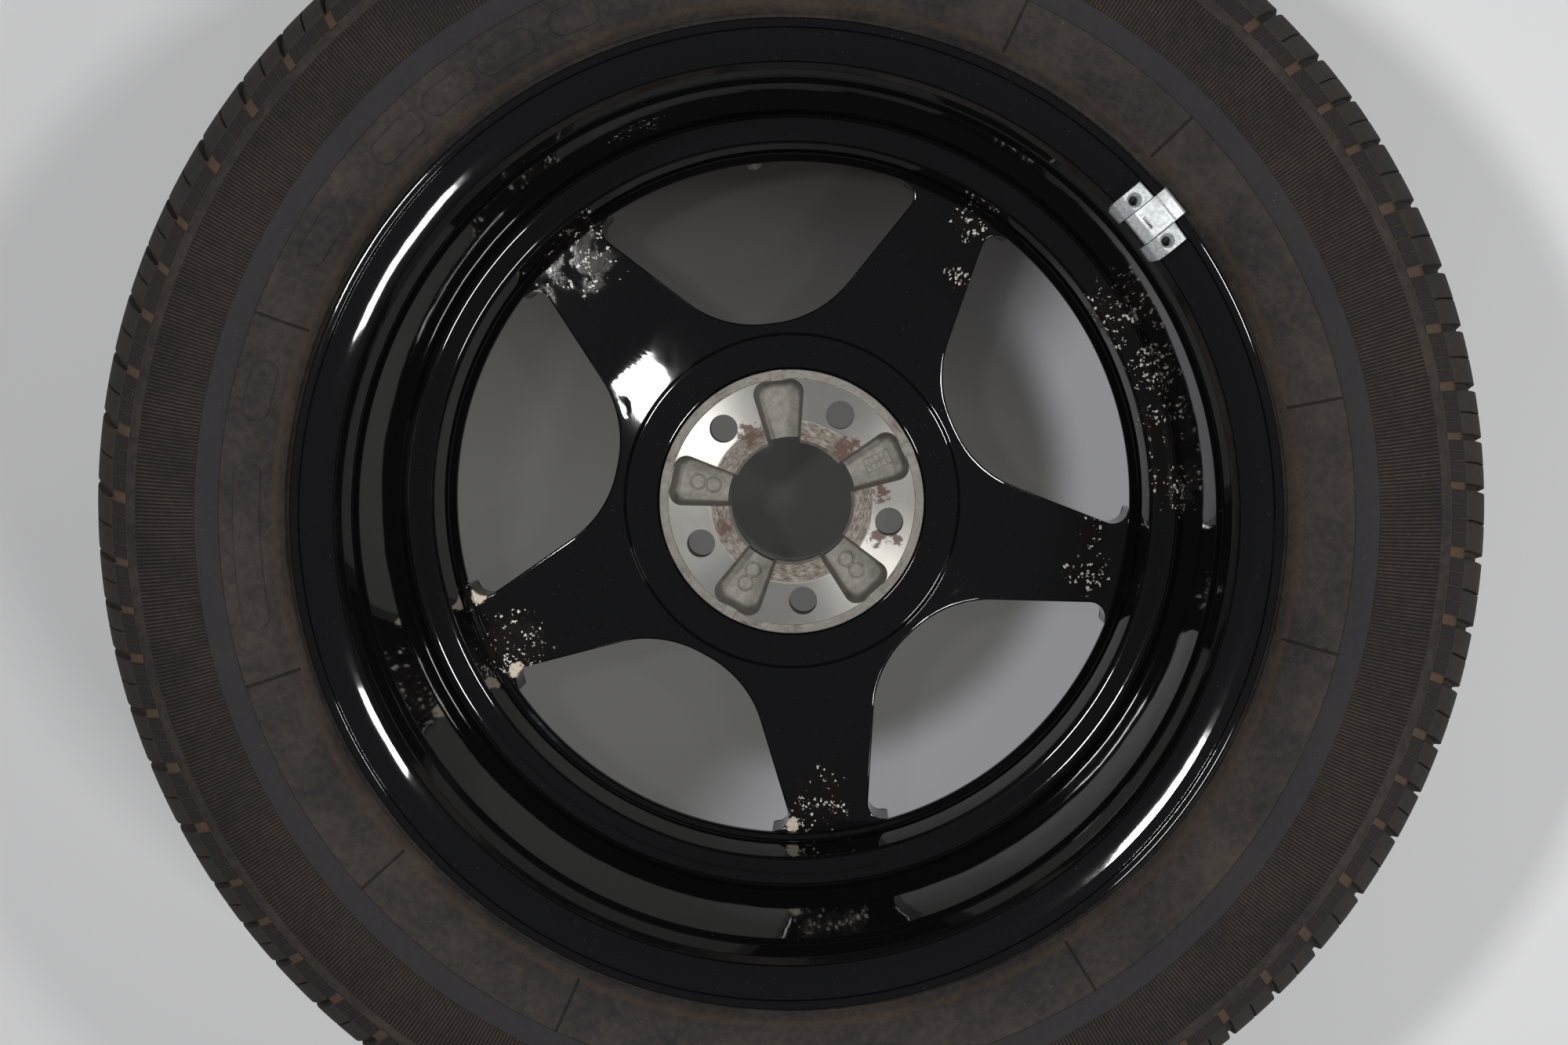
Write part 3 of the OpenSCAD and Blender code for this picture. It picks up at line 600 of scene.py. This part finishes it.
# Corrosion under the paint
crumble = speckle(tree, place, 420.0, 8.0, 0.75)
spread = speckle(tree, place, 55.0, 5.0, 0.6)
rust = near_places(tree, place, rust_spots)
rust = calc(tree, "MULTIPLY", rust, calc(tree, "SUBTRACT", calc(tree, "MULTIPLY", spread, 3.6), 1.0))
lifted = fade(tree, rust, 0.05, 0.7)
rust = calc(tree, "MULTIPLY", fade(tree, rust, 0.15, 0.6), 0.8)
ragged = add_node(tree, "ShaderNodeTexNoise", {"Vector": place, "Scale": 800.0})
ragged = add_node(tree, "ShaderNodeVectorMath", {0: ragged.outputs["Color"], 1: (0.003, 0.003, 0.003),
    2: place}, operation="MULTIPLY_ADD").outputs[0]
cells = add_node(tree, "ShaderNodeTexVoronoi", {"Vector": ragged, "Scale": 620.0, "Randomness": 1.0})
one_cell, cell_size, _ = add_node(tree, "ShaderNodeSeparateColor", {0: cells.outputs["Color"]}).outputs
clump = speckle(tree, place, 140.0, 3.0, 0.6)
chance = calc(tree, "ADD", one_cell, calc(tree, "ADD", calc(tree, "MULTIPLY", lifted, 0.27),
    calc(tree, "MULTIPLY", calc(tree, "SUBTRACT", clump, 0.5), 1.1)))
from_middle = calc(tree, "SUBTRACT", cells.outputs["Distance"], calc(tree, "MULTIPLY", cell_size, 0.35))
flake = calc(tree, "MULTIPLY", fade(tree, from_middle, 0.32, 0.22), fade(tree, chance, 1.0, 1.05))
flake = calc(tree, "MULTIPLY", flake, fade(tree, lifted, 0.02, 0.2))
rust_tone = blend_colour(tree, crumble, (0.004, 0.0035, 0.0035, 1), (0.020, 0.013, 0.010, 1))
bare = calc(tree, "MULTIPLY", near_places(tree, place, bare_corners),
    calc(tree, "SUBTRACT", calc(tree, "MULTIPLY", crumble, 3.6), 0.9))
bare = fade(tree, bare, 0.22, 0.34)
rust_tone = blend_colour(tree, bare, rust_tone, (0.60, 0.53, 0.42, 1))
rust = calc(tree, "MAXIMUM", rust, bare)
dust = fade(tree, speckle(tree, place, 900.0, 2.0, 0.5), 0.72, 0.78)
paint_tone = blend_colour(tree, calc(tree, "MULTIPLY", dust, 0.25), (*paint_black, 1),
    (0.2, 0.19, 0.18, 1))
paint_tone = blend_colour(tree, rust, paint_tone, rust_tone)
paint_tone = blend_colour(tree, flake, paint_tone, (0.70, 0.67, 0.62, 1))
tone = blend_colour(tree, on_pad, paint_tone, metal_tone)
tree.links.new(tone, shader.inputs["Base Color"])
paint_rough = add_node(tree, "ShaderNodeMix", {0: rust, 2: 0.05, 3: 0.25}).outputs[0]
tree.links.new(add_node(tree, "ShaderNodeMix", {0: rust, 2: 0.5, 3: 0.06}).outputs[0],
    shader.inputs["Specular IOR Level"])
on_turned = calc(tree, "MULTIPLY", on_face, calc(tree, "SUBTRACT", 1.0, rough_ring))
metal_rough = add_node(tree, "ShaderNodeMix", {0: on_turned, 2: 0.6, 3: 0.36}).outputs[0]
tree.links.new(add_node(tree, "ShaderNodeMix", {0: on_pad, 2: paint_rough, 3: metal_rough}).outputs[0],
    shader.inputs["Roughness"])
metal_share = add_node(tree, "ShaderNodeMix", {0: on_turned, 2: 0.45, 3: 0.78}).outputs[0]
metal_share = calc(tree, "MULTIPLY", metal_share, calc(tree, "SUBTRACT", 1.0, stain))
metal_share = calc(tree, "MULTIPLY", on_pad, metal_share)
tree.links.new(metal_share, shader.inputs["Metallic"])
# The turned face spreads its highlights along the radius
outwards = add_node(tree, "ShaderNodeVectorMath", {0: place, 1: (1, 1, 0)}, operation="MULTIPLY").outputs[0]
outwards = add_node(tree, "ShaderNodeVectorMath", {0: outwards}, operation="NORMALIZE").outputs[0]
tree.links.new(outwards, shader.inputs["Tangent"])
spread_share = calc(tree, "MULTIPLY", calc(tree, "MULTIPLY", on_turned, on_pad), 0.75)
tree.links.new(spread_share, shader.inputs["Anisotropic"])
wave = calc(tree, "MULTIPLY", speckle(tree, place, 45.0, 2.0, 0.4), 0.00012)
pits = calc(tree, "MULTIPLY", calc(tree, "MULTIPLY", crumble, rust), 0.00012)
cast_bumps = calc(tree, "MULTIPLY", calc(tree, "MULTIPLY", grain, calc(tree, "SUBTRACT", 1.0, on_face)),
    calc(tree, "MULTIPLY", on_pad, 0.00018))
# Two cast rings in three of the pockets, and a small grid in a fourth
ring_gap = None
for step in (2, 3, 4):
    a = window_az + 2 * half_turn * step
    for ring_r in (43.8, 52.3):
        ring_mid = Vector((ring_r * math.cos(a), ring_r * math.sin(a), pocket_floor_z)) * MM
        gap = add_node(tree, "ShaderNodeVectorMath", {0: place, 1: ring_mid},
            operation="DISTANCE").outputs["Value"]
        gap = calc(tree, "ABSOLUTE", calc(tree, "SUBTRACT", gap, 4.0 * MM))
        ring_gap = gap if ring_gap is None else calc(tree, "MINIMUM", ring_gap, gap)
rings = fade(tree, ring_gap, 0.6 * MM, 0.2 * MM)
turned_place = add_node(tree, "ShaderNodeVectorRotate", {"Vector": place, "Angle": -window_az},
    rotation_type="Z_AXIS").outputs[0]
local = add_node(tree, "ShaderNodeSeparateXYZ", {0: turned_place}).outputs
in_grid = calc(tree, "MULTIPLY", band(tree, local[0], 43.8, 59.4, 0.05),
    band(tree, local[1], -4.2, 4.2, 0.05))
squares = None
for axis, cell in ((0, 3.0), (1, 4.0)):
    start = 44.1 if axis == 0 else -4.0
    part = calc(tree, "DIVIDE", calc(tree, "SUBTRACT", local[axis], start * MM), cell * MM)
    part = calc(tree, "ABSOLUTE", calc(tree, "SUBTRACT", calc(tree, "FLOORED_MODULO", part, 1.0), 0.5))
    part = fade(tree, part, 0.5 - 0.45 / cell, 0.5 - 0.25 / cell)
    squares = part if squares is None else calc(tree, "MAXIMUM", squares, part)
squares = calc(tree, "MULTIPLY", in_grid, squares)
marks = calc(tree, "MULTIPLY", calc(tree, "ADD", rings, squares), 0.0006)
marks = calc(tree, "MULTIPLY", marks, calc(tree, "MULTIPLY", on_pad, calc(tree, "SUBTRACT", 1.0, on_face)))
raised(tree, shader, calc(tree, "ADD", calc(tree, "ADD", calc(tree, "ADD", wave, pits), cast_bumps), marks))

alloy_wheel = joined([rim, hub])
smoothed(alloy_wheel, 38)
alloy_wheel.data.materials.clear()
alloy_wheel.data.materials.append(wheel_paint)
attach(alloy_wheel, "wheel")
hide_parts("alloy_wheel")

# Tyre. One moulding of black rubber, brown with road dust. Bands run round the sidewalls, one of them finely
# ribbed, and slots cross the shoulder in pitches of three lengths.
crown_r = 339.2
wide_r, wide_z = 283.46, 116.3
low_arc, high_arc = 58.36, 52.35
crown_arc = 581.4
band_r = [241.5, 264.53, 274.97, 304.46, 315.99]
band_lift = [0, 0.6, 0.18, 0.42]
groove_middles = [55.35, 20.25]
groove_w, groove_d = 9.0, 6.5
slot_d, cut_d = 3.0, 1.8
slot_lean = math.radians(9)
pitches = [4.2, 4.2, 5, 5, 5.8, 5.8]
# Section of the bead and of the inside: radius, height, corner radius
bead_section = [
    (209, 72, 0), (216.67, 69.1, 1), (218.4, 88.8, 6.6), (229, 88.8, 6), (237.6, 92.3, 4), (241.5, 98.5, 0),
]
inner_section = [
    (205, 88, 0), (227.3, 70.6, 5), (244.6, 87.9, 20), (275.5, 107.3, 24), (305.5, 101.3, 18),
    (323.65, 58.6, 40), (323.65, 0, 0),
]
# Along the shoulder's arc: share of the way, depth of the slots and of the narrow cuts
shoulder_depths = [
    (0, 0, 0), (0.02, 0, 0), (0.05, 0.8, 0), (0.09, 1.0, 0), (0.12, 2.4, 1.2), (0.22, slot_d, 1.6),
]
shoulder_depths += [(share, slot_d, cut_d) for share in (0.38, 0.54, 0.7, 0.86, 1)]
shoulder_end_r = 335.2
# Places across a pitch, as shares of it, and how deep each lies: 1 in the slot, 2 in the narrow cut
across = [(0, 0), (0.015, 1), (0.125, 1), (0.14, 0), (0.27, 0), (0.40, 0), (0.545, 0), (0.555, 2),
    (0.575, 2), (0.585, 0), (0.72, 0), (0.86, 0)]


def sidewall_z(r):
    """Height of the sidewall at a radius."""
    if r < wide_r:
        return wide_z + math.sqrt(low_arc ** 2 - (wide_r - r) ** 2) - low_arc
    return wide_z + math.sqrt(high_arc ** 2 - (r - wide_r) ** 2) - high_arc


def crown_at(z):
    """Radius of the crown at a height."""
    return crown_r - z * z / (2 * crown_arc)


def tyre_rows():
    """Rows from the bead to the middle of the crown: radius, height, direction outwards, and the depth of
    the slots and of the narrow cuts there."""
    rows = [(r, z, 0, 0, 0, 0) for r, z in rounded(bead_section, 4)[1:-1]]
    for b in range(4):
        for k in range(5):
            r = band_r[b] + (band_r[b + 1] - band_r[b]) * k / 5 + (0.6 if k == 0 and b > 0 else 0)
            rows.append((r, sidewall_z(r) + band_lift[b], 0, 0, 0, 0))
    first = math.asin((band_r[4] - wide_r) / high_arc)
    last = math.asin((shoulder_end_r - wide_r) / high_arc)
    for share, slot, cut in shoulder_depths:
        a = first + (last - first) * share
        r, z = wide_r + high_arc * math.sin(a), wide_z - high_arc * (1 - math.cos(a))
        rows.append((r, z, math.sin(a), math.cos(a), slot, cut))
    rows += [(crown_at(z), z, 1, 0, slot_d + 0.5, cut_d) for z in (67.5, 64, 60)]
    for middle in groove_middles:
        for share, deep in [(0.5, 0), (0.38, 1), (-0.38, 1), (-0.5, 0)]:
            z = middle + share * groove_w
            rows.append((crown_at(z) - deep * groove_d, z, 1, 0, 0, 0))
        if middle == groove_middles[0]:
            rows += [(crown_at(z), z, 1, 0, 0, 0) for z in (45, 38, 31)]
    rows += [(crown_at(z), z, 1, 0, 0, 0) for z in (10, 3)]
    return rows


def tyre_mesh():
    """Closed skin of the tyre: columns round the wheel, and rows from bead to bead and back inside."""
    columns = []
    start = 0.0
    for pitch in pitches * 12:
        columns += [(math.radians(start + share * pitch), kind) for share, kind in across]
        start += pitch
    inboard = tyre_rows()
    rows = [(*row, 1) for row in inboard] + [(*row, -1) for row in reversed(inboard)]
    inner = rounded(inner_section, 3)[1:-1]
    rows += [(r, -z, 0, 0, 0, 0, 1) for r, z in inner] + [(r, z, 0, 0, 0, 0, 1) for r, z in reversed(inner)]
    points = []
    half_pitch = math.radians(2.5)
    for r, z, out_r, out_z, slot, cut, side in rows:
        turn = math.tan(slot_lean) * abs(z) / r + (0 if side > 0 else half_pitch)
        for a, kind in columns:
            deep = slot if kind == 1 else cut if kind == 2 else 0
            rr, zz = r - deep * out_r, (z - deep * out_z) * side
            points.append((rr * math.cos(a + turn), rr * math.sin(a + turn), zz))
    wide = len(columns)
    faces = []
    for i in range(len(rows)):
        j = (i + 1) % len(rows)
        for k in range(wide):
            n = (k + 1) % wide
            faces.append((i * wide + k, i * wide + n, j * wide + n, j * wide + k))
    return from_points("tyre_finish", np.array(points), faces, 0)


tyre = tyre_mesh()
smoothed(tyre, 32)
tyre_rubber, tree, shader = new_material("dusty_tyre_rubber", (0.04, 0.034, 0.03), 0.8)
shader.inputs["Specular IOR Level"].default_value = 0.2
place = add_node(tree, "ShaderNodeTexCoord").outputs["Object"]
axes = add_node(tree, "ShaderNodeSeparateXYZ", {0: place}).outputs
radius = from_axis(tree, axes)
angle = calc(tree, "ARCTAN2", axes[1], axes[0])
ribbed = band(tree, radius, 275.4, 304.2)
ribs = calc(tree, "SINE", calc(tree, "MULTIPLY", angle, 1060.0))
smooth_ring = band(tree, radius, 264.8, 274.8)
# Thin rings at the two steps between the sidewall bands, darkened further down as painted shade in the steps
ring_edge = calc(tree, "ADD", band(tree, radius, 264.2, 264.7, 0.2), band(tree, radius, 274.9, 275.4, 0.2))
inner_wall = band(tree, radius, 241.5, 264.3)
bead_dust = band(tree, radius, 240.6, 243.2, 0.8)
decor = band(tree, radius, 309.0, 319.4)
tread = fade(tree, radius, 319.2 * MM, 320.2 * MM)
# Share of the way through each tread pitch, following the lean of the slots
lean = calc(tree, "MULTIPLY", calc(tree, "ABSOLUTE", axes[2]), math.tan(slot_lean))
leant = calc(tree, "SUBTRACT", angle, calc(tree, "DIVIDE", lean, radius))
in_run = calc(tree, "FLOORED_MODULO", leant, math.radians(30))
phase = None
for i, pitch in enumerate(pitches):
    before = math.radians(sum(pitches[:i]))
    after = before + math.radians(pitch)
    part = add_node(tree, "ShaderNodeMapRange", {0: in_run, 1: before, 2: after}).outputs[0]
    phase = part if phase is None else calc(tree, "ADD", phase, part)
phase = calc(tree, "FLOORED_MODULO", phase, 1.0)
wide_recess = calc(tree, "MULTIPLY", fade(tree, phase, 0.17, 0.14), fade(tree, phase, -0.02, 0.01))
# Four shallow rectangles between one wide slot and the next
four = calc(tree, "FLOORED_MODULO", calc(tree, "MULTIPLY", calc(tree, "SUBTRACT", phase, 0.16), 4.76), 1.0)
rectangle = calc(tree, "MULTIPLY", fade(tree, four, 0.06, 0.12), fade(tree, four, 0.96, 0.90))
rectangle = calc(tree, "MULTIPLY", rectangle, calc(tree, "SUBTRACT", 1.0, wide_recess))
rectangle = calc(tree, "MULTIPLY", rectangle, band(tree, radius, 310.0, 318.4))
# Thin lines across the inner sidewall, and obround outlines on it
line_gap = None
for degrees in (13, 45, 65, 158, 197, 221, 246, 304, 347):
    a = math.radians(degrees)
    gap = along_way(tree, place, (math.sin(a), -math.cos(a), 0))
    side = along_way(tree, place, (math.cos(a), math.sin(a), 0))
    gap = calc(tree, "ADD", calc(tree, "ABSOLUTE", gap), fade(tree, side, 0.1, -0.1))
    line_gap = gap if line_gap is None else calc(tree, "MINIMUM", line_gap, gap)
lines = calc(tree, "MULTIPLY", fade(tree, line_gap, 0.75 * MM, 0.3 * MM), inner_wall)
obround_r, obround_round = 253.5 * MM, 5.5 * MM
left_angle = calc(tree, "ARCTAN2", calc(tree, "MULTIPLY", axes[1], -1.0),
    calc(tree, "MULTIPLY", axes[0], -1.0))
beyond = None
for middle, half in [(-67.7, 2.7), (-59.7, 3.4), (-52.5, 3.2), (-45.2, 3.3), (-32, 3.4), (-14.3, 3.2),
        (2.5, 9)]:
    gap = calc(tree, "ABSOLUTE", calc(tree, "SUBTRACT", left_angle, math.radians(middle)))
    gap = calc(tree, "SUBTRACT", gap, math.radians(half))
    beyond = gap if beyond is None else calc(tree, "MINIMUM", beyond, gap)
along = calc(tree, "ADD", calc(tree, "MULTIPLY", beyond, obround_r), obround_round)
along = calc(tree, "MAXIMUM", along, 0.0)
edge_gap = from_axis(tree, (along, calc(tree, "SUBTRACT", radius, obround_r)))
obrounds = calc(tree, "ABSOLUTE", calc(tree, "SUBTRACT", edge_gap, obround_round))
obrounds = fade(tree, obrounds, 0.75 * MM, 0.3 * MM)
cloud = speckle(tree, place, 14.0, 6.0, 0.62)
blot = speckle(tree, place, 34.0, 5.0, 0.6)
fine_dust = speckle(tree, place, 240.0, 5.0, 0.7)
dust = calc(tree, "MULTIPLY", calc(tree, "ADD", cloud, blot), 0.32)
dust = calc(tree, "ADD", dust, calc(tree, "MULTIPLY", fine_dust, 0.36))
tone = blend_colour(tree, fade(tree, dust, 0.36, 0.66), (0.018, 0.016, 0.016, 1), (0.052, 0.041, 0.033, 1))
rib_tone = blend_colour(tree, fade(tree, dust, 0.38, 0.62), (0.026, 0.020, 0.016, 1),
    (0.056, 0.039, 0.027, 1))
# Painted shade: the gaps between the ribs are painted near black, and the crests keep the dusty tone
rib_tone = blend_colour(tree, fade(tree, ribs, -0.7, 0.9), (0.010, 0.009, 0.009, 1), rib_tone)
in_recess = calc(tree, "MULTIPLY", decor, wide_recess)
grit = fade(tree, speckle(tree, place, 700.0, 2.0, 0.5), 0.72, 0.78)
# Each part of the sidewall, how much of its tone it shows, and that tone; the ribbed band's tone holds
# painted shade in the gaps between its ribs
for part, share, own in [(ribbed, 1.0, rib_tone), (smooth_ring, 0.85, (0.022, 0.0205, 0.023, 1)),
        (bead_dust, 0.35, (0.062, 0.040, 0.026, 1)), (decor, 0.6, (0.040, 0.030, 0.024, 1)),
        (rectangle, 0.75, (0.017, 0.015, 0.015, 1)), (in_recess, 0.8, (0.080, 0.052, 0.034, 1)),
        (tread, 0.6, (0.030, 0.026, 0.023, 1))]:
    tone = blend_colour(tree, calc(tree, "MULTIPLY", part, share), tone, own)
# Painted shade at the steps between the bands, and the dark moulded lines across the inner sidewall
thin_lines = calc(tree, "MINIMUM", calc(tree, "ADD", lines, ring_edge), 0.8)
tone = blend_colour(tree, thin_lines, tone, (0.009, 0.008, 0.008, 1))
tone = blend_colour(tree, calc(tree, "MULTIPLY", obrounds, 0.18), tone, (0.012, 0.010, 0.010, 1))
tone = blend_colour(tree, calc(tree, "MULTIPLY", grit, 0.3), tone, (0.20, 0.17, 0.14, 1))
tree.links.new(tone, shader.inputs["Base Color"])
relief = calc(tree, "MULTIPLY", calc(tree, "MULTIPLY", ribs, ribbed), 0.00022)
for part, height in [(rectangle, -0.0006), (in_recess, -0.0010), (lines, 0.0005), (obrounds, 0.00025),
        (fine_dust, 0.0005)]:
    relief = calc(tree, "ADD", relief, calc(tree, "MULTIPLY", part, height))
raised(tree, shader, relief)
tyre.data.materials.append(tyre_rubber)
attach(tyre, "wheel")
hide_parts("tyre")

# Balance weight. A zinc casting with a silver-grey coating, held on the flange by a spring-steel clip.
weight_coating, tree, shader = new_material("weight_coating", (0.50, 0.53, 0.54), 0.5, 0.5)
place = add_node(tree, "ShaderNodeTexCoord").outputs["Object"]
marks = speckle(tree, place, 700.0, 4.0, 0.6)
tree.links.new(blend_colour(tree, fade(tree, marks, 0.35, 0.7), (0.40, 0.43, 0.44, 1), (0.62, 0.65, 0.66, 1)),
    shader.inputs["Base Color"])
raised(tree, shader, calc(tree, "MULTIPLY", marks, 0.00015))
clip_steel, tree, shader = new_material("clip_steel", (0.62, 0.65, 0.66), 0.48, 0.55)
place = add_node(tree, "ShaderNodeTexCoord").outputs["Object"]
marks = speckle(tree, place, 500.0, 4.0, 0.6)
tree.links.new(blend_colour(tree, fade(tree, marks, 0.35, 0.7), (0.50, 0.53, 0.54, 1), (0.72, 0.75, 0.76, 1)),
    shader.inputs["Base Color"])


def softened(name, material, width):
    """A copy of a CAD piece with its flat faces joined again and its sharp edges rounded a little."""
    piece = bpy.data.objects.new(name + "_finish", nodes[name].data.copy())
    scene.collection.objects.link(piece)
    picked(piece)
    bpy.ops.object.mode_set(mode="EDIT")
    bpy.ops.mesh.select_all(action="SELECT")
    bpy.ops.mesh.remove_doubles(threshold=1e-6)
    bpy.ops.mesh.dissolve_limited(angle_limit=math.radians(2))
    bpy.ops.object.mode_set(mode="OBJECT")
    edge = piece.modifiers.new("edge", "BEVEL")
    edge.width = width * MM
    edge.segments = 2
    edge.limit_method = "ANGLE"
    edge.angle_limit = math.radians(40)
    edge.use_clamp_overlap = True
    bpy.ops.object.modifier_apply(modifier=edge.name)
    smoothed(piece, 35)
    piece.data.materials.clear()
    piece.data.materials.append(material)
    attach(piece, "wheel")
    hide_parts(name)


softened("weight_body", weight_coating, 0.35)
softened("weight_clip", clip_steel, 0.25)

# Tyre valve. A rubber body round a brass stem is pulled into its hole in the rim, and holds a core of
# small turned pieces under a dusty plastic cap.


def plain_finish(name, low, high, roughness, metallic, scale):
    """A finish whose colour varies between two tones, with a fine grain."""
    made, tree, shader = new_material(name, low, roughness, metallic)
    place = add_node(tree, "ShaderNodeTexCoord").outputs["Object"]
    grain = speckle(tree, place, scale, 4.0, 0.6)
    tone = blend_colour(tree, fade(tree, grain, 0.35, 0.68), (*low, 1), (*high, 1))
    tree.links.new(tone, shader.inputs["Base Color"])
    raised(tree, shader, calc(tree, "MULTIPLY", grain, 0.00006))
    return made


finishes = {
    "valve_body": plain_finish("valve_rubber", (0.012, 0.012, 0.012), (0.035, 0.032, 0.03), 0.65, 0.0, 400.0),
    "valve_stem": plain_finish("stem_brass", (0.50, 0.36, 0.16), (0.66, 0.52, 0.26), 0.35, 0.9, 500.0),
    "valve_cap": plain_finish("dusty_cap", (0.10, 0.09, 0.08), (0.42, 0.38, 0.33), 0.6, 0.0, 350.0),
    "cap_seal": plain_finish("seal_rubber", (0.02, 0.02, 0.02), (0.04, 0.04, 0.04), 0.7, 0.0, 600.0),
    "core_plug": plain_finish("core_brass", (0.55, 0.40, 0.18), (0.70, 0.55, 0.28), 0.3, 0.9, 600.0),
    "core_seal": plain_finish("core_ring", (0.35, 0.03, 0.02), (0.50, 0.06, 0.04), 0.5, 0.0, 600.0),
    "core_pin": plain_finish("pin_steel", (0.50, 0.50, 0.50), (0.65, 0.65, 0.65), 0.25, 1.0, 600.0),
}
finishes["core_barrel"] = finishes["core_cup"] = finishes["core_plug"]
finishes["cup_seal"] = finishes["cap_seal"]
finishes["core_spring"] = finishes["core_pin"]
for name, finish in finishes.items():
    nodes[name].data.materials.clear()
    nodes[name].data.materials.append(finish)

# The spring's coil, which on the real valve shortens when the pin is pressed: here a copy of its mesh with
# its place baked in, shown instead of the spring part
coil = bpy.data.objects.new("core_spring_coil", nodes["core_spring"].data.copy())
scene.collection.objects.link(coil)
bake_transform(coil)
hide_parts("core_spring")
